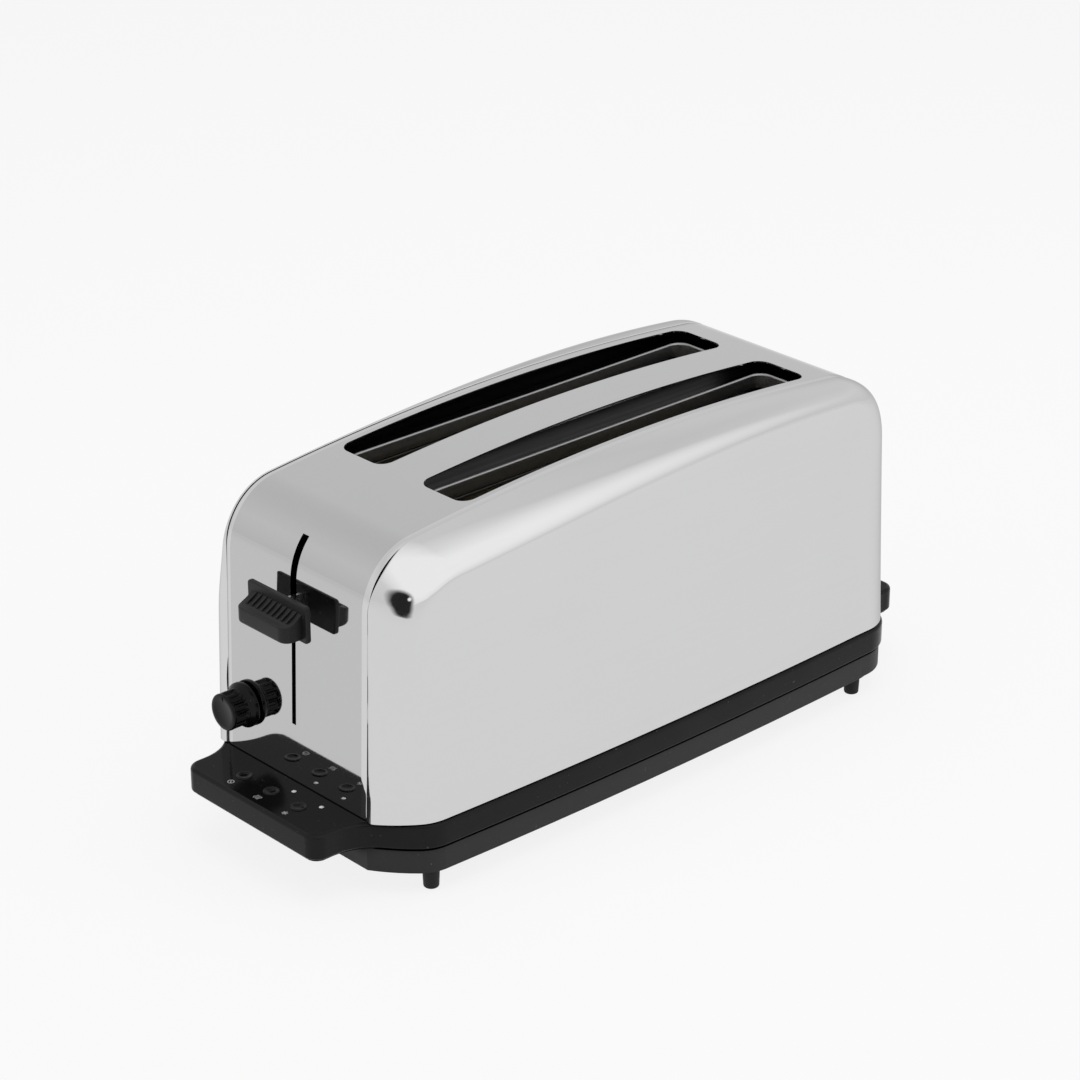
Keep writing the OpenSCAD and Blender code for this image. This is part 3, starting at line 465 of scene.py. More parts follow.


# painted light: strap and shells are one mirror-polished steel; the shells' copy, also used on the strap's
# rolls, is set brighter than the strap's to match how bright each reads under the studio light
strap_steel = polished("polished_strap", (0.655, 0.655, 0.658), 0.02, 0.05, (6, 420, 420))
shell_steel = polished("polished_shell", (0.81, 0.81, 0.813), 0.03, 0.07, (5, 300, 300), 0.0002, 0.72)
lip_steel = polished("rolled_lip", (0.46, 0.46, 0.465), 0.34, 0.16, (10, 500, 500))
# painted shade: inner faces, the seams' hidden depths and the frame plate get near-black steel so open seams
# and the plate under the slots read as shadowed
shaded_inner_steel = sheet_metal("shaded_inner_sheet", (0.06, 0.06, 0.062), 0.45, (6, 300, 300))
chamber_steel = sheet_metal("chamber_sheet", (0.10, 0.0995, 0.098), 0.35, (300, 300, 8), 0.2)
wire_steel = sheet_metal("guard_wire", (0.24, 0.235, 0.23), 0.3, (40, 40, 40), 0.4)
tray_steel = sheet_metal("tray_sheet", (0.55, 0.55, 0.555), 0.25, (6, 260, 260))
rod_steel = sheet_metal("ground_rod", (0.6, 0.6, 0.61), 0.15, (300, 300, 30))
screw_steel = sheet_metal("zinc_screw", (0.3, 0.3, 0.31), 0.35, (120, 120, 120))
ribbon_steel = sheet_metal("oxidised_ribbon", (0.2, 0.17, 0.155), 0.45, (200, 200, 200), 0.6)
# the base and the pan carry painted shade (shade): colour and gloss darkened in their corners and creases,
# such as the groove where the rim meets the pan
base_plastic = moulded("base_plastic", (0.011, 0.011, 0.0114), 0.17, 1500.0, 0.00001, 0.14, shade=0.006)
# painted shade: the deck face is the same moulding as base_body, set darker and less glossy so its up-facing
# top reads darker
deck_shaded_plastic = moulded("deck_shaded_plastic", (0.006, 0.006, 0.0062), 0.14, 1500.0, 0.00001, 0.07)
pan_plastic = moulded("pan_plastic", (0.022, 0.022, 0.0225), 0.45, 1200.0, 0.00005, 0.3, 0.0008, 0.008)
lever_plastic = moulded("lever_plastic", (0.013, 0.013, 0.0133), 0.4, 1300.0, 0.00004, 0.25)
knob_plastic = moulded("knob_plastic", (0.003, 0.003, 0.0031), 0.2, 1600.0, 0.00002, 0.2)
button_plastic = moulded("button_plastic", (0.005, 0.005, 0.0052), 0.2, 1600.0, 0.00001, 0.25)
rubber_black = moulded("foot_rubber", (0.014, 0.014, 0.014), 0.62, 900.0, 0.00008, 0.3)
pale_plastic = moulded("switch_plastic", (0.45, 0.45, 0.42), 0.45, 900.0, 0.00005)
mark_paint = moulded("mark_paint", (0.55, 0.55, 0.55), 0.5, 2000.0, 0.00001)
mica = mineral("mica_board", (0.50, 0.44, 0.29))
board_green = resin("board_resin", (0.025, 0.11, 0.045), (0.05, 0.2, 0.08))
copper = wound("copper_turns", (0.5, 0.24, 0.12))
lens = clear_cap("lamp_lens")

guards = ["guard_near_outer", "guard_near_inner", "guard_far_inner", "guard_far_outer"]
carried = {
    base_plastic: ["shelf_cover_front", "shelf_cover_rear", "tray_handle"],
    pan_plastic: ["base_pan"],
    rubber_black: ["cord_gland"],
    screw_steel: ["pan_screws", "cover_screws"],
    chamber_steel: ["front_bulkhead", "rear_bulkhead", "reflector_near", "reflector_far", "rod_bridge"],
    wire_steel: [*guards, "bread_rack_near", "bread_rack_far"],
    rod_steel: ["guide_rods", "knob_shaft", "carriage_bracket", "keeper_plate"],
    tray_steel: ["crumb_tray"],
    mica: ["heater_card_near", "heater_card_middle", "heater_card_far"],
    board_green: ["power_board", "control_board"],
    copper: ["latch_magnet"],
    pale_plastic: ["mains_switch", "timer_pot"],
}
for material, names in carried.items():
    for n in names:
        slots = nodes[n].data.materials
        slots.clear()
        slots.append(material)

# Side section of the casing as one line from the front foot over the arch to the rear foot

crown_c = np.array([slot_x, crown_h - crown_r])
wall_a = {-1: pi - end_lean, 1: end_lean}


def corner_c(side, r):
    """Centre of the round of radius r between an end wall and the crown."""
    out = np.array([side * cos(end_lean), sin(end_lean)])
    up = np.array([-side * sin(end_lean), cos(end_lean)])
    foot = np.array([side * half_l, base_top]) - r * out
    arm = foot - crown_c
    along = arm @ up
    return foot + up * (sqrt(along**2 - arm @ arm + (crown_r - r) ** 2) - along)


corner = {s: corner_c(s, corner_r) for s in (-1, 1)}
top_a = {s: angle_of(corner[s] - crown_c) for s in (-1, 1)}
wall_end = {s: corner[s] + corner_r * ray(wall_a[s]) for s in (-1, 1)}
wall_len = {s: np.linalg.norm(wall_end[s] - (s * half_l, base_top)) for s in (-1, 1)}
u1 = wall_len[-1]
u2 = u1 + corner_r * (wall_a[-1] - top_a[-1])
u3 = u2 + crown_r * (top_a[-1] - top_a[1])
u4 = u3 + corner_r * (top_a[1] - wall_a[1])
u5 = u4 + wall_len[1]


def section(u, back=0.0):
    """Place and outward angle on the section at length u, set in by back; its corners open as they go in."""
    r = corner_r + corner_open * back / back_max
    centre = {s: corner_c(s, r) for s in (-1, 1)}
    top = {s: angle_of(centre[s] - crown_c) for s in (-1, 1)}
    low = {s: centre[s] + (r - back) * ray(wall_a[s]) for s in (-1, 1)}
    foot = {s: np.array([s * (half_l - back), base_top]) for s in (-1, 1)}
    if u <= u1:
        return foot[-1] + (low[-1] - foot[-1]) * u / u1, wall_a[-1]
    if u <= u2:
        a = wall_a[-1] + (top[-1] - wall_a[-1]) * (u - u1) / (u2 - u1)
        return centre[-1] + (r - back) * ray(a), a
    if u <= u3:
        a = top[-1] + (top[1] - top[-1]) * (u - u2) / (u3 - u2)
        return crown_c + (crown_r - back) * ray(a), a
    if u <= u4:
        a = top[1] + (wall_a[1] - top[1]) * (u - u3) / (u4 - u3)
        return centre[1] + (r - back) * ray(a), a
    return low[1] + (foot[1] - low[1]) * (u - u4) / (u5 - u4), wall_a[1]


def u_of_x(x):
    return u2 + crown_r * (top_a[-1] - acos((x - slot_x) / crown_r))


def u_of_z(z):
    if z <= wall_end[-1][1]:
        return (z - base_top) / cos(end_lean)
    return u1 + corner_r * (wall_a[-1] - (pi - asin((z - corner[-1][1]) / corner_r)))


def spaced(a, b, step):
    n = max(1, int(round((b - a) / step)))
    return [a + (b - a) * i / n for i in range(n)]


foot_u, end_u = foot_gap, u5 - foot_gap


def all_along(wall_step, corner_step, crown_step):
    """Places along the whole section, closer together where it turns."""
    places = spaced(foot_u, u1, wall_step) + spaced(u1, u2, corner_step) + spaced(u2, u3, crown_step)
    return places + spaced(u3, u4, corner_step) + spaced(u4, end_u, wall_step) + [end_u]


def on_section(u, y, back=0.0):
    p, a = section(u)
    q = p - back * ray(a)
    return [q[0], y, q[1]]


def out_section(u):
    a = section(u)[1]
    return np.array([cos(a), 0, sin(a)])


# Middle strap with its slots, slit and knob hole

strap_half = strap_y - seam_gap / 2
roll, roll_deep, edge_deep = 4.0, 0.8, 3.0
flat_half = strap_half - roll
plan_step, slit_step, strap_cols, hole_clear, shaft_room = 6.0, 2.0, 17, 1.2, 2.0
u_list = all_along(8, 1.5, 6)


def slot_plan(side, grow=0.0):
    return rounded(slot_l + 2 * grow, slot_w + 2 * grow, slot_corner, 10) + (slot_x, side * slot_y)


holes = []
for s in (-1, 1):
    plan, fine = slot_plan(s), []
    for p0, p1 in zip(plan, np.roll(plan, -1, axis=0)):
        n = max(1, int(dist(p0, p1) / plan_step))
        fine += [p0 + (p1 - p0) * i / n for i in range(n)]
    holes.append(np.array([(u_of_x(x), y) for x, y in fine]))
slit_side = []
for z0, z1, width in ((slit_low, head_low, slit_w), (head_low, slit_high, head_w)):
    lo, hi = u_of_z(z0), u_of_z(z1)
    slit_side += [(u, width / 2) for u in spaced(lo, hi, slit_step) + [hi]]
slit_loop = [(u, lever_y - h) for u, h in slit_side] + [(u, lever_y + h) for u, h in reversed(slit_side)]
holes += [np.array(slit_loop), circle((u_of_z(knob_z), knob_y), shaft_d / 2 + shaft_room, 32)]
v_list = np.linspace(-flat_half, flat_half, strap_cols)
outer = [(u, -flat_half) for u in u_list] + [(end_u, v) for v in v_list[1:-1]]
outer += [(u, flat_half) for u in reversed(u_list)] + [(foot_u, v) for v in v_list[-2:0:-1]]
outer = np.array(outer)
inner_points = np.array([(u, v) for u in u_list[1:-1] for v in v_list[1:-1]])
clear = np.min([away(inner_points, h) for h in holes], axis=0) > hole_clear
hidden = np.any([inside(inner_points, h) for h in holes], axis=0)
pts, tris = fill(outer, holes, inner_points[clear & ~hidden])

b, under = Build(), Build()
ups = np.array([out_section(u) for u, _ in pts])
b.patch([on_section(u, v) for u, v in pts], ups, tris)
under.patch([on_section(u, v, sheet_t) for u, v in pts], -ups, tris)
for h in holes:
    turn = np.sign(np.sum(h[:, 0] * np.roll(h[:, 1], -1) - h[:, 1] * np.roll(h[:, 0], -1)))
    norms = []
    for (u, _), (du, dv) in zip(h, -turn * loop_normals(h)):
        a = section(u)[1]
        norms.append([sin(a) * du, dv, -cos(a) * du])
    b.grid([[on_section(u, v, back) for u, v in h] for back in (0.0, sheet_t)], [norms, norms], closed=True)
rolls = Build()
for s in (-1, 1):
    rows, norms = [], []
    for f in np.radians(range(0, 91, 15)):
        y, back = flat_half + roll * sin(f), roll_deep * (1 - cos(f))
        rows.append([on_section(u, s * y, back) for u in u_list])
        tip = np.array([0, s * sin(f) / roll, 0])
        norms.append([out_section(u) * cos(f) / roll_deep + tip for u in u_list])
    rolls.grid(rows, norms)
    # the roll's hidden depth, in near-black painted-shade steel so the open seam reads dark
    deep = [on_section(u, s * strap_half, roll_deep + edge_deep) for u in u_list]
    under.grid([rows[-1], deep], [[[0, s, 0]] * len(u_list)] * 2)
make("strap_rolls", rolls, shell_steel)
strap = make("strap_sheet", b, strap_steel)
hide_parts("wrap_panel")
make("strap_inside", under, shaded_inner_steel)

# Side shells

lip_r, seam_line, front_lip, lip_fade, lip_span, lip_reach = 0.6, 0.5, 5.0, 40.0, 60.0, 1.38
lip_deep, lean_power, flat_rows, share_step, along_step, bow_step = 3.5, 3.5, 14, 0.002, 0.05, 0.5
shares = np.linspace(0, 1, 41)
shell_u = all_along(6, 1.2, 5)
front_facet = facet_r * (knee_a - edge_slope)
front_len = front_facet + knee_r * (pi / 2 - knee_a)
rear_flat = edge_w - rear_r
rear_len = rear_flat + rear_r * pi / 2


def bow(x):
    return max(0.0, sqrt(bow_r**2 - x**2) + bow_y - side_y)


def round_way(r, a, b):
    """Depth and reach gained along a round of radius r from angle a to b."""
    return r * np.array([cos(a) - cos(b), sin(b) - sin(a)])


def front_edge(k):
    """Depth and reach of the front edge at share k from the seam: sloped facet, then the knee."""
    s = k * front_len
    if s < front_facet:
        return round_way(facet_r, edge_slope, edge_slope + s / facet_r)
    return round_way(knee_r, knee_a, knee_a + (s - front_facet) / knee_r) + (facet_back, facet_rise)


def rear_edge(k):
    """Depth and reach of the rear edge at share k from the seam: a short flat, then one plain round."""
    s = k * rear_len
    if s < rear_flat:
        return np.array([0.0, s])
    return round_way(rear_r, 0.0, (s - rear_flat) / rear_r) + (0.0, rear_flat)


def ease(x):
    x = min(1.0, max(0.0, x))
    return x * x * (3 - 2 * x)


def side_place(x, z, reach, start):
    """A point of the shell; reach is its share of the way from the seam to the flat side, which leans in."""
    lean = tan(side_lean) * (z - base_top)
    return [x, strap_y + start + reach * (edge_w - start + bow(x)) - lean * reach**lean_power, z]


def lip_at(u):
    """Radius of the lip beside the seam: full down the front wall, fine along the crown."""
    return lip_r + (front_lip - lip_r) * (1 - ease((u - u1 + lip_fade) / lip_span))


def seam_start(u, corner_gap):
    """How far outside the strap's edge the shell begins; the seam may open at the corners."""
    start = seam_line + lip_reach * (lip_at(u) - lip_r)
    for lo, hi in ((u1, u2), (u3, u4)):
        if lo < u < hi:
            return start + corner_gap * sin(pi * (u - lo) / (hi - lo)) ** 2
    return start


def shell_edge(u, k, corner_gap):
    edge = front_edge(k)
    edge = edge + (rear_edge(k) - edge) * ease((u - u2) / (u3 - u2))
    x, z = section(u, edge[0])[0]
    return side_place(x, z, edge[1] / edge_w, seam_start(u, corner_gap))


def flat_normal(x):
    slope = (bow(x + bow_step) - bow(x - bow_step)) / (2 * bow_step)
    return unit([-slope, 1, tan(side_lean)])


def shell_rows(corner_gap):
    """Points and normals of a far shell: its edge, its flat side, its lip and the lip's hidden depth."""

    def edges(du, dk):
        us, ks = np.clip(np.array(shell_u) + du, 0, u5), np.clip(shares + dk, 0, 1)
        return np.array([[shell_edge(u, k, corner_gap) for k in ks] for u in us])

    surface = edges(0, 0)
    tilt = edges(0, share_step) - edges(0, -share_step)
    along = edges(along_step, 0) - edges(-along_step, 0)
    normal = unit(np.cross(along, tilt))
    normal *= np.sign(np.sum(normal[:, :, 1]))
    normal[:, -1] = [flat_normal(x) for x, _, _ in surface[:, -1]]
    fan, fan_norms = [surface[:, -1]], [normal[:, -1]]
    for share in np.arange(1, flat_rows + 1) / flat_rows:
        inner = [(x * (1 - share), z + (base_top + foot_gap - z) * share) for x, _, z in surface[:, -1]]
        fan.append([side_place(x, z, 1.0, 0.0) for x, z in inner])
        fan_norms.append([flat_normal(x) for x, _ in inner])
    lip, lip_norms = [], []
    for f in np.radians(range(0, 91, 15)):
        ring, rn = [], []
        for u, edge, n in zip(shell_u, surface[:, 0], normal[:, 0]):
            tangent = unit(np.cross(n, np.cross([0, 1.0, 0], n)))
            d = cos(f) * n - sin(f) * tangent
            ring.append(edge + lip_at(u) * (d - n))
            rn.append(d)
        lip.append(ring)
        lip_norms.append(rn)
    deep = [lip[-1], [q - lip_deep * out_section(u) for q, u in zip(lip[-1], shell_u)]]
    deep_norms = [[[0, -1, 0]] * len(shell_u)] * 2
    pairs = ((surface, normal), (fan, fan_norms), (lip, lip_norms), (deep, deep_norms))
    return [(np.array(points), np.array(norms)) for points, norms in pairs]


for s, name, corner_gap in ((-1, "near", 2.2), (1, "far", 0.0)):
    turned = np.array([1, s, 1])
    edge_grid, side_grid, lip_grid, deep_grid = shell_rows(corner_gap)
    b, under = Build(), Build()
    for points, norms in (edge_grid, side_grid, lip_grid):
        b.grid(points * turned, norms * turned)
    shell = make("shell_" + name, b, shell_steel)
    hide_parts("side_shell_" + name)
    for points, norms in (edge_grid, side_grid):
        under.grid((points - sheet_t * norms) * turned, -norms * turned)
    # the lip's hidden depth, also in near-black painted-shade steel so the open seam reads dark
    under.grid(deep_grid[0] * turned, deep_grid[1] * turned)
    make("shell_inside_" + name, under, shaded_inner_steel)

# Rolled collars on their frame

collar_r, plate_t, plate_half, plate_past, hole_in = 1.0, 1.0, 67.2, 1.0, 2.5
collar = [(-1.2, frame_z + 1.0), (-1.9, frame_z + 1.6), (-2.0, frame_z + 3.0)]
collar += arc((-3.0, collar_top - collar_r), collar_r, 0, pi, 9)
collar += [(-4.0, collar_top - 5.0), (-3.8, frame_z + 1.0), (-3.6, frame_z)]
b = Build()
for s in (-1, 1):
    b.band(collar, lambda grow: slot_plan(s, grow))
collars = make("slot_collars", b, lip_steel)
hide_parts("top_frame")
b = Build()
plate = box(front_in - plate_past, rear_in + plate_past, -plate_half, plate_half)
for z, up in ((frame_z + plate_t, 1), (frame_z, -1)):
    b.flat(plate, [slot_plan(s, -hole_in) for s in (-1, 1)], z, up)
walls = [[[x, y, z] for x, y in plate] for z in (frame_z, frame_z + plate_t)]
b.grid(walls, [[[x - slot_x, y, 0] for x, y in plate]] * 2, closed=True)
# the frame plate under the slots, in near-black painted-shade steel
make("frame_plate", b, shaded_inner_steel)

# Base moulding: outline of the base with both shelves, set out by grow


def quarter(grow, sweep, rounds):
    """From the shelf's tip round its corner and the sweep, then the casing's rounds, to the bowed side."""
    pts = [np.array([shelf_x + grow, 0.0])]
    pts += arc((shelf_x - shelf_corner, shelf_y - shelf_corner), shelf_corner + grow, 0, pi / 2, 10)
    (x, y), r = rounds[0][:2]
    sweep_y = shelf_y + sweep
    sweep_c = np.array([x + sqrt((sweep + r) ** 2 - (sweep_y - y) ** 2), sweep_y])
    turn = angle_of(sweep_c - (x, y))
    pts += arc(sweep_c, sweep - grow, -pi / 2, turn - pi, 14)
    for centre, r, end, n in rounds:
        pts += arc(centre, r + grow, turn, end, n)[1:]
        turn = end
    return np.array(pts + arc(bow_c, bow_r + grow, turn, pi / 2, 10)[1:])


def base_outline(grow):
    f = quarter(grow, shelf_sweep, [(facet_c, facet_r, knee_a, 6), (knee_c, knee_r, knee_meet, 12)])
    r = quarter(grow, rear_sweep, [(rear_c, rear_r, rear_meet, 16)])
    return np.concatenate([r, f[-2::-1] * (-1, 1), f[1:] * (-1, -1), r[-2:0:-1] * (1, -1)])


top_r, low_r, rim_low, groove, rim_flat = 2.2, 1.2, pan_top + 1.5, 2.2, 5.0
chute_end, chute_half, wire_edge, lamp_gap = 6.0, 63.2, 12.0, 0.05
lamp_x, lamp_ys = button_x + lamp_back, [i * button_pitch - lamp_side for i in (-1, 0)]
wall_grow, groove_grow = rim_lip - wall_t, rim_lip - groove
rim = [(wall_grow, deck_low), (wall_grow, pan_top), (groove_grow, pan_top), (groove_grow, rim_low)]
rim += arc((rim_lip - low_r, rim_low + low_r), low_r, -pi / 2, 0, 3)
rim += [(rim_lip, base_top - top_r - rim_flat)]
rim += arc((rim_lip - top_r, base_top - top_r), top_r, 0, pi / 2, 6)
b, deck = Build(), Build()
for lo, hi in ((0, 2), (1, 3), (2, 4), (3, 5), (4, len(rim))):
    b.band(rim[lo:hi], base_outline)
chute = box(front_in + chute_end, rear_in - chute_end, -chute_half, chute_half)
wire_hole = box(wire_edge - half_l, -166.0, wire_edge - strap_y, -14.0)
deck_holes = [chute, wire_hole]
deck_holes += [circle((button_x, i * button_pitch), button_d / 2 + button_gap, 40) for i in (-1, 0, 1)]
deck_holes += [circle((lamp_x, y), lamp_d / 2 + lamp_gap, 24) for y in lamp_ys]
deck.flat(base_outline(rim[-1][0]), deck_holes, base_top, 1)
b.flat(base_outline(rim[0][0]), deck_holes, deck_low, -1)
for h in deck_holes:
    norms = [[x, y, 0] for x, y in -loop_normals(h)]
    deck.grid([[[x, y, z] for x, y in h] for z in (deck_low, base_top)], [norms, norms], closed=True)
base = make("base_body", b, base_plastic)
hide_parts("base_moulding")
# the deck face takes the darker painted-shade copy of the base plastic
make("deck_face", deck, deck_shaded_plastic)

# Fuller rear corners of the pan: a crescent outside its wall at each side, with a rounded lower edge

round_n, pan_deep, pan_soft = 20, 0.6, 0.9
pan_out = arc(rear_c, rear_r, 0, rear_meet, round_n) + arc(bow_c, bow_r, rear_meet, knee_meet, 4)[1:]
pan_out = np.array(pan_out)
pan_norms = np.concatenate([unit(pan_out[:round_n + 1] - rear_c), unit(pan_out[round_n + 1:] - bow_c)])
dip = np.array([0.0] * (round_n + 1) + [0.0, 0.02, 0.05, 0.1])
pan_out -= dip[:, None] * pan_norms
pan_in = arc(facet_c, facet_r - pan_deep, edge_slope, knee_a, 8)
pan_in += arc(knee_c, knee_r - pan_deep, knee_a, knee_meet, 14)[1:]
pan_round = [(pan_soft, 0.0), (0.45, 0.12), (0.12, 0.45), (0.0, pan_soft), (0.0, pan_top - foot_h)]
b = Build()
for s in (-1, 1):
    rows, norms = [], []
    for inset, up in pan_round:
        ring = np.concatenate([pan_out - inset * pan_norms, pan_in[::-1]])
        ln = np.concatenate([pan_norms, loop_normals(ring)[len(pan_out):]])
        fall = -max(0.0, 1 - up / pan_soft)
        rows.append([[x, s * y, foot_h + up] for x, y in ring])
        norms.append([[nx, s * ny, fall if i < len(pan_out) else 0.0] for i, (nx, ny) in enumerate(ln)])
    b.grid(rows, norms, closed=True)
    for row, up in ((rows[0], -1), (rows[-1], 1)):
        b.flat(np.array(row)[:, :2], [], row[0][2], up)
make("pan_corners", b, pan_plastic)

# Feet with a collar and a rounded tip

foot_profile = [(0.0, 0.0), (3.2, 0.0), (3.8, 0.15), (4.15, 0.5), (4.3, 1.0), (4.75, 11.0), (4.8, 12.2)]
foot_profile += [(5.5, 12.5), (5.5, foot_h)]
for sx, ex in ((-1, "front"), (1, "rear")):
    for sy, ey in ((-1, "near"), (1, "far")):
        b = Build()
        lathe(b, foot_profile, (sx * foot_x, sy * foot_y, 0), 40)
        foot = make(f"peg_foot_{ex}_{ey}", b, rubber_black, 35)
        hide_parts(f"foot_{ex}_{ey}")

# Push buttons with a dished face, their lamps and the marks beside them

cap_top, lamp_low = base_top + 0.6, 32.6
cap_dish = [(0.0, 1.15), (1.2, 1.1), (2.2, 0.92), (2.9, 0.62), (3.3, 0.25), (3.5, 0.05), (3.75, 0.0)]
cap_dish += [(4.1, 0.03), (4.35, 0.18), (4.47, 0.4), (4.5, 0.7)]
cap_stem = [(4.5, 0.0), (5.7, 0.05), (5.7, 1.25), (1.5, 1.25), (1.5, 2.25), (0.0, 2.25)]
cap_profile = [(r, cap_top - d) for r, d in cap_dish] + [(r, deck_low - d) for r, d in cap_stem]
for i, key in ((1, "stop"), (0, "reheat"), (-1, "defrost")):
    b = Build()
    lathe(b, cap_profile, (button_x, i * button_pitch, 0), 56)
    piece = make(key + "_cap", b, button_plastic, 50, key + "_key")
    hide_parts(key + "_button")
dome = [(0.0, 0.2), (0.6, 0.17), (1.1, 0.05), (1.4, -0.2), (1.5, -0.6)]
lamp_profile = [(r, base_top + h) for r, h in dome] + [(1.5, lamp_low), (0.0, lamp_low)]
b = Build()
for y in lamp_ys:
    lathe(b, lamp_profile, (lamp_x, y, 0), 32)
lamps = make("lamp_domes", b, lens, 60)
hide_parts("lamp_lenses")

mark_x, mark_z, pen = button_x - 9.2, base_top + 0.03, 0.45
ring_r, bar, mark_half, wave_pitch, wave_h = 1.7, 1.2, 1.8, 1.5, 0.4


def stroke(b, points):
    """A flat painted line of even width along points, for the marks."""
    p = np.array(points, float)
    t = unit(np.gradient(p, axis=0))
    side = np.stack([-t[:, 1], t[:, 0]], axis=1) * pen / 2
    rows = [[[x, y, mark_z] for x, y in p + side], [[x, y, mark_z] for x, y in p - side]]
    b.grid(rows, [[[0, 0, 1]] * len(p)] * 2)


b = Build()
stop_y, reheat_y, defrost_y = button_pitch, 0.0, -button_pitch
stroke(b, arc((mark_x, stop_y), ring_r, 0, 2 * pi, 32))
stroke(b, [(mark_x - bar, stop_y - bar), (mark_x + bar, stop_y + bar)])
for k in (-1, 0, 1):
    ways = np.linspace(-1, 1, 17)
    high = reheat_y + wave_pitch * k + wave_h * np.sin(pi * (ways + 1))
    stroke(b, np.stack([mark_x + mark_half * ways, high], axis=1))
for k in range(3):
    arm = ray(pi * k / 3) * mark_half
    stroke(b, [(mark_x, defrost_y) - arm, (mark_x, defrost_y) + arm])
make("key_marks", b, mark_paint)

# Lever: flange, dished pad with rounded front corners, and ribs

lever_gap, flange_soft, flange_r = 8.0, 0.7, 2.0
flange_x = -(wall_x(lever_z) + lever_gap)
front = flange_x - flange_t
plan = rounded(flange_w, flange_h, flange_r, 6)
ln = loop_normals(plan)


def flange_ring(x, inset):
    return [[x, lever_y + p, lever_z + q] for p, q in plan - ln * inset]


b = Build()
mid = 0.3 * flange_soft
half = [(0.0, flange_soft, 0.7, 0.7), (mid, mid, 0.7, 0.7), (flange_soft, 0.0, 0.0, 1.0)]
layers = [(front + d, inset, -a, r) for d, inset, a, r in half]
layers += [(flange_x - d, inset, a, r) for d, inset, a, r in reversed(half)]
rows = [flange_ring(x, inset) for x, inset, _, _ in layers]
b.grid(rows, [[[a, n[0] * r, n[1] * r] for n in ln] for _, _, a, r in layers], closed=True)
for x, way in ((front, -1), (flange_x, 1)):
    k = b.add(flange_ring(x, flange_soft), [[way, 0, 0]] * len(plan))
    b.face([k + i for i in range(len(plan))], (way, 0, 0))
lever = make("lever_flange", b, lever_plastic, None, "carriage")
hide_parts("lever_paddle")

pad_deep, pad_front, pad_back, pad_sag, pad_fall, dish_n = -8.5, 1.0, 5.6, 1.6, 0.15, 12
pad_nose, pad_soft, pad_rim, pad_round, pad_least, pad_n = 1.8, 0.7, 1.6, 5.0, 2.6, 48


def dish(x):
    """Height of the dished top of the pad at x, from the front edge at -pad_reach to the flange at 0."""
    k = 1 + x / pad_reach
    return pad_front + (pad_back - pad_front) * k - pad_sag * 4 * k * (1 - k)


def pad_ring(reach):
    """Side section of the pad for a front edge at reach, from the flange round the front and back."""
    pts = [(0.0, pad_deep)]
    pts += arc((pad_nose - reach, pad_deep + pad_nose), pad_nose, -pi / 2, -pi, 4)
    rim = dish(-reach)
    pts.append((-reach, rim - pad_rim))
    for d in (0, 30, 60, 90):
        a = radians(d)
        high = rim - pad_soft + pad_soft * sin(a) - pad_fall * d / 90
        pts.append((-reach + pad_soft * (1 - cos(a)), high))
    for i in range(1, dish_n + 1):
        x = -(reach - pad_soft) * (1 - i / dish_n)
        pts.append((x, dish(x)))
    return pts


rows = []
for i in range(pad_n + 1):
    y = -pad_w / 2 * cos(pi * i / pad_n)
    over = max(0.0, abs(y) - (pad_w / 2 - pad_round))
    reach = pad_reach - pad_round + sqrt(max(0.0, pad_round**2 - over**2))
    rows.append([[front + x, lever_y + y, lever_z + z] for x, z in pad_ring(max(reach, pad_least))])
b = Build()
cols = len(rows[0])
b.add(np.concatenate(rows), np.zeros((len(rows) * cols, 3)))
for i in range(pad_n):
    for j in range(cols - 1):
        k = i * cols + j
        b.f.append((k, k + 1, k + cols + 1, k + cols))
for i in (0, pad_n):
    b.f.append(tuple(range(i * cols, (i + 1) * cols)))
make("lever_pad", b, lever_plastic, 42, "carriage")
rib_half, rib_n = 0.6, 9
rib = [(-7.0, 0.4), (-7.0, 1.8), (-6.6, 2.4), (-6.0, 2.8), (-0.4, 5.9), (0.0, 6.1), (0.0, 0.4)]
b = Build()
for i in range(rib_n):
    y = lever_y + (i - rib_n // 2) * pad_w / (rib_n + 1)
    for way in (-1, 1):
        k = b.add([[front + x, y + way * rib_half, lever_z + z] for x, z in rib], [[0, way, 0]] * len(rib))
        b.f.append(tuple(range(k, k + len(rib)))[::-way])
    for j in range(k - len(rib), k - 1):
        b.f.append((j, j + 1, j + 1 + len(rib), j + len(rib)))
make("lever_ribs", b, lever_plastic, 30, "carriage")

# Browning knob with flutes round its grip and a skirt at the wall

knob_x, knob_n = -(wall_x(knob_z) + knob_gap), 240
skirt, grip = skirt_d / 2, knob_d / 2
flute_low, flute_high, flute_deep, flute_half, flute_end, grip_room = 5.4, knob_l - 1.5, 1.9, 2.3, 0.8, 0.6


def fluted(r, h, ang):
    """Radius of the knob with its flutes, which run out softly at both ends."""
    if not flute_low < h < flute_high or r < grip - grip_room:
        return r
    depth = flute_deep * min(1.0, h - flute_low, (flute_high - h) / flute_end)
    pitch = 2 * pi / flutes
    off = abs((ang + pitch / 2) % pitch - pitch / 2) * r
    return r - (depth * sqrt(1 - (off / flute_half) ** 2) if off < flute_half else 0.0)


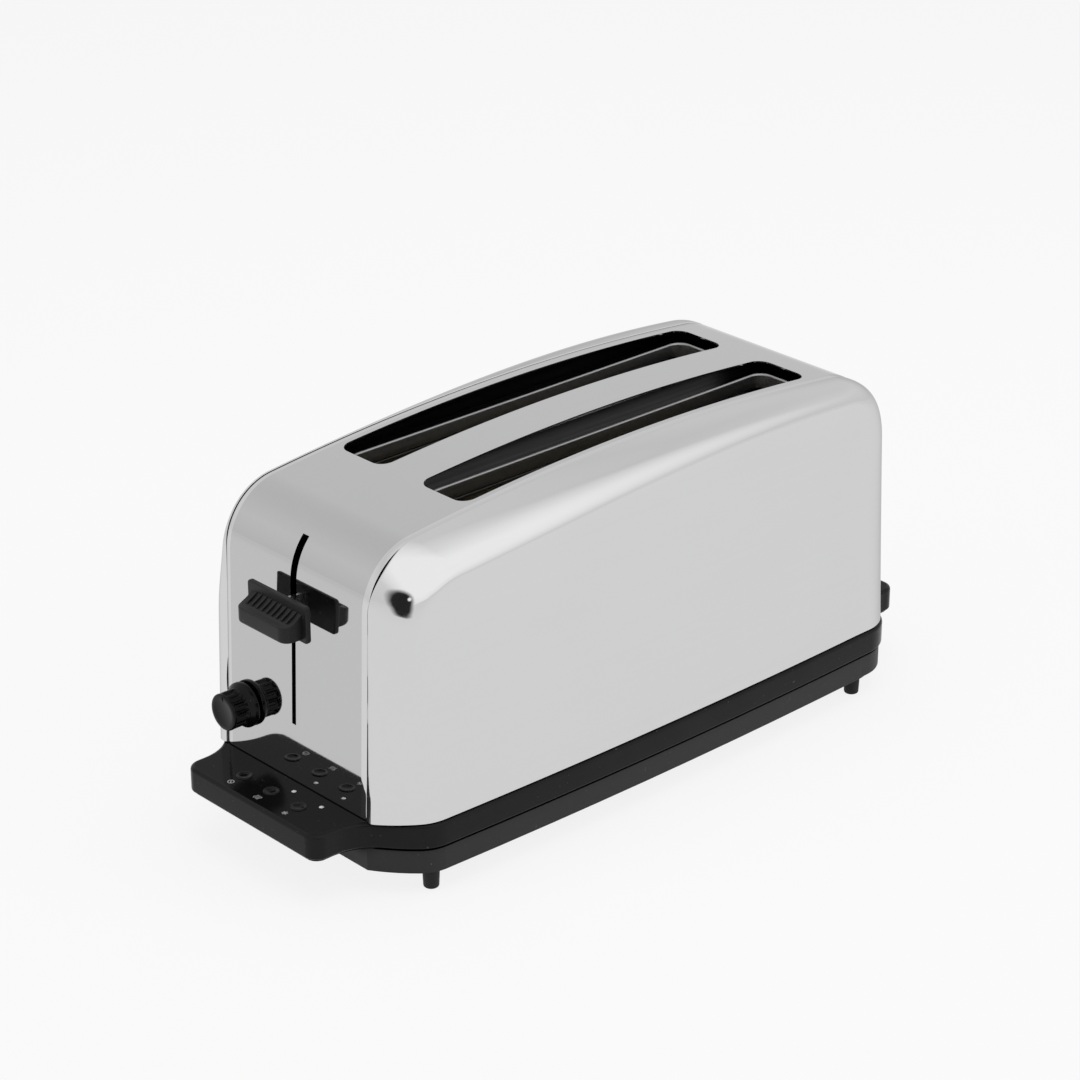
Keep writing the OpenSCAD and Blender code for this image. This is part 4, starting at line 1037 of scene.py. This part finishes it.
profile = [(skirt - 0.6, 0.0), (skirt - 0.15, 0.15), (skirt, 0.6), (skirt, 2.4), (skirt - 0.2, 2.9)]
profile += [(skirt - 0.7, 3.2), (grip + 0.5, 4.7), (grip + 0.1, 5.0)]
profile += [(grip, h) for h in (5.4, 5.7, 6.1, 6.5, 8.5)]
profile += [(grip, knob_l - d) for d in (4.5, 2.5, 2.2, 1.9, 1.6, 1.2)]
profile += [(grip - 0.1, knob_l - 0.6), (grip - 0.4, knob_l - 0.2), (grip - 0.9, knob_l)]
profile += [(grip - 3.0, knob_l), (grip - 3.3, knob_l - 0.12), (0.0, knob_l - 0.12)]
b = Build()
lathe(b, profile, (knob_x, knob_y, knob_z), knob_n, lying, fluted)
lathe(b, [(0.0, 0.0), profile[0]], (knob_x, knob_y, knob_z), knob_n, lying)
knob = make("knob_grip", b, knob_plastic, 38, "knob")
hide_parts("browning_knob")
pointer_half, pointer_deep, pointer_mid = 0.5, 0.1, 2.5
pointer = box(-pointer_half, pointer_half, grip - 3.9, grip - 1.2)
b = Build()
rows = [[[knob_x - knob_l + d, knob_y + y, knob_z + z] for y, z in pointer] for d in (pointer_deep, 0.0)]
k = b.add(rows[1], [[-1, 0, 0]] * 4)
b.face([k, k + 1, k + 2, k + 3], (-1, 0, 0))
b.grid(rows, [[[0, y, z - grip + pointer_mid] for y, z in pointer]] * 2, closed=True)
make("knob_pointer", b, knob_plastic, None, "knob")

# Return spring as one round wire, and the heater ribbons


def tube(b, path, r, n):
    path = np.array(path, float)
    t = unit(np.gradient(path, axis=0))
    side = unit(np.cross(t, np.array([0, 0, 1.0])))
    up = np.cross(side, t)
    ang = np.linspace(0, 2 * pi, n, endpoint=False)
    dirs = np.cos(ang)[None, :, None] * side[:, None, :] + np.sin(ang)[None, :, None] * up[:, None, :]
    s = b.grid(path[:, None, :] + r * dirs, dirs, closed=True)
    for row, way in ((0, -1), (len(path) - 1, 1)):
        b.face([s + row * n + j for j in range(n)], t[row] * way)


wire, curls, curl_n, wire_n, coil_room, coil_end = 0.6, 18, 24, 10, 1.2, 0.1
mean_r = rod_d / 2 + wire + coil_room
z0, z1 = base_top + wire + coil_end, bracket_low - wire - coil_end
helix = []
for i in range(curls * curl_n + 1):
    x, y = (rod_x, rod_y) + mean_r * ray(2 * pi * i / curl_n)
    helix.append([x, y, z0 + (z1 - z0) * i / (curls * curl_n)])
b = Build()
tube(b, helix, wire, wire_n)
spring = make("lift_spring", b, rod_steel)
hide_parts("return_spring")
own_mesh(spring)

card_low, card_high, card_end, turns_n, run_n = 60.5, 176.0, 10.0, 10, 12
ribbon_off, ribbon_half, ribbon_t, ribbon_in = 0.8, 0.8, 0.2, 3.7
pitch = (card_high - card_low - 2 * card_end) / turns_n
x0, x1 = front_in + ribbon_in, rear_in - ribbon_in
for y0, name in ((-card_y, "near"), (0.0, "middle"), (card_y, "far")):
    line = []
    for i in range(turns_n):
        z = card_low + card_end + pitch * i
        for xa, xb, s, za, zb in ((x0, x1, -1, 0.0, 0.4), (x1, x0, 1, 0.5, 0.9)):
            for f in np.linspace(0, 1, run_n + 1):
                line.append([xa + (xb - xa) * f, y0 + s * ribbon_off, z + pitch * (za + (zb - za) * f)])
    p = np.array(line)
    out = np.stack([np.zeros(len(p)), np.sign(p[:, 1] - y0), np.zeros(len(p))], axis=1)
    high = np.array([0, 0, ribbon_half])
    outer, inner = p + ribbon_t * out, p - ribbon_t * out
    b = Build()
    b.grid([outer - high, outer + high], [out, out])
    b.grid([inner + high, inner - high], [-out, -out])
    b.grid([outer + high, inner + high], [[[0, 0, 1]] * len(p)] * 2)
    b.grid([inner - high, outer - high], [[[0, 0, -1]] * len(p)] * 2)
    ribbon = make("ribbon_" + name, b, ribbon_steel, 40)
    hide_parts("heater_ribbon_" + name)

# Stage: floor, studio light and camera

floor_half, camera_level, mirror_level, glow_share = 30.0, 0.963, 0.76, 0.88
corners = box(-floor_half, floor_half, -floor_half, floor_half)
floor_mesh = bpy.data.meshes.new("floor")
floor_mesh.from_pydata([(x, y, 0) for x, y in corners.tolist()], [], [(0, 1, 2, 3)])
floor = put("floor", floor_mesh)
white = {"Base Color": (0.9, 0.9, 0.9, 1), "Roughness": 0.9, "Specular IOR Level": 0.0}
floor_white, t = shader("floor_white", white)
path = t.node("LightPath").outputs
level = t.remap(path["Is Camera Ray"], mirror_level, camera_level)
glow = t.node("Emission", Color=(1, 1, 1, 1), Strength=level).outputs["Emission"]
seen = t.calc("MAXIMUM", path["Is Camera Ray"], path["Is Glossy Ray"])
seen = t.calc("MAXIMUM", seen, path["Is Transmission Ray"])
t.show(t.between(t.calc("MULTIPLY", seen, glow_share), t.main.outputs["BSDF"], glow))
floor_mesh.materials.append(floor_white)

world = bpy.data.worlds.new("studio")
scene.world = world
world.use_nodes = True
world.node_tree.nodes.clear()
t = Tree(world.node_tree)
path = t.node("LightPath").outputs
around = t.node("TexCoord").outputs["Generated"]
height = t.node("SeparateXYZ", Vector=around).outputs["Z"]
tones = t.ramp(height, [(0.0, 0.68), (0.2, 0.71), (0.42, 0.74), (0.6, 0.70), (0.78, 0.64), (1.0, 0.73)])

# A round bright patch of the studio with a soft edge, seen in reflections
patch_azimuth, patch_height, patch_outer, patch_inner = np.radians([-85, 32, 48, 26])
aim = (*(cos(patch_height) * ray(patch_azimuth)), sin(patch_height))
share = t.calc("DOT_PRODUCT", around, aim, "VectorMath")
share = t.remap(share, 0.0, 1.0, cos(patch_outer), cos(patch_inner))
mirror = t.node("Background", Color=t.mix(share, tones, (1, 1, 1, 1)), Strength=1.0)
plain = t.node("Background", Color=(0.947, 0.947, 0.947, 1), Strength=1.0)
dim = t.node("Background", Color=(0.9, 0.9, 0.9, 1), Strength=0.55)
mirrored = t.calc("MAXIMUM", path["Is Glossy Ray"], path["Is Transmission Ray"])
light = t.between(mirrored, dim.outputs["Background"], mirror.outputs["Background"])
t.node("OutputWorld", Surface=t.between(path["Is Camera Ray"], light, plain.outputs["Background"]))


def softbox(name, place, aim, width, depth, power):
    data = bpy.data.lights.new(name, "AREA")
    data.shape, data.size, data.size_y, data.energy = "RECTANGLE", width, depth, power
    obj = put(name, data)
    obj.location = place
    obj.rotation_mode = "QUATERNION"
    obj.rotation_quaternion = (Vector(aim) - Vector(place)).to_track_quat("-Z", "Y")
    obj.visible_glossy = False


def flag(name, azimuth, reach, z, width, height, level, soft):
    """An oval that only reflections see, facing the casing's near front corner from that far away."""
    oval = [(width * c, 0.0, height * s) for c, s in circle((0, 0), 1.0, 48).tolist()]
    mesh = bpy.data.meshes.new(name)
    mesh.from_pydata(oval, [], [tuple(range(len(oval)))])
    material, t = shader(name)
    local = t.node("TexCoord").outputs["Object"]
    share = t.calc("DIVIDE", local, (width, 1.0, height), "VectorMath", "Vector")
    fade = t.remap(t.calc("LENGTH", share, kind="VectorMath"), 0.0, 1.0, 1 - soft, 1.0)
    glow = t.node("Emission", Color=(level, level, level, 1), Strength=1.0)
    t.show(t.between(fade, glow.outputs["Emission"], t.node("BsdfTransparent").outputs["BSDF"]))
    mesh.materials.append(material)
    obj = put(name, mesh)
    x, y = flag_aim + reach * ray(radians(azimuth))
    obj.location = (x, y, z)
    obj.rotation_euler = (0.0, 0.0, radians(azimuth + 90))
    obj.visible_camera = obj.visible_diffuse = obj.visible_shadow = False


flag_aim, box_aim = np.array([-0.18, -0.08]), (0, 0, 0.1)
flag("dark_flag", -120, 1.5, 0.28, 0.56, 0.4, 0.02, 0.35)
flag("small_window", -108, 1.4, 0.33, 0.09, 0.06, 0.95, 0.3)
softbox("top_box", (0.1, -0.1, 1.9), box_aim, 1.8, 1.4, 16)
softbox("side_box", (1.2, -1.5, 1.1), box_aim, 1.0, 1.2, 9)
softbox("front_box", (-1.7, 0.5, 1.0), box_aim, 1.0, 1.0, 6)

view_back, view_place = Vector((-0.6157, -0.6667, 0.4201)).normalized(), (-1.1294, -1.2097, 0.8864)
cam_data = bpy.data.cameras.new("camera")
cam = put("camera", cam_data)
cam.location = view_place
cam.rotation_mode = "QUATERNION"
cam.rotation_quaternion = (-view_back).to_track_quat("-Z", "Y")
cam_data.sensor_width = 36.0
cam_data.lens = 108.56
cam_data.shift_x, cam_data.shift_y = -0.0035, 0.0055
cam_data.clip_start, cam_data.clip_end = 0.01, 100
scene.camera = cam
scene.view_settings.view_transform = "Standard"
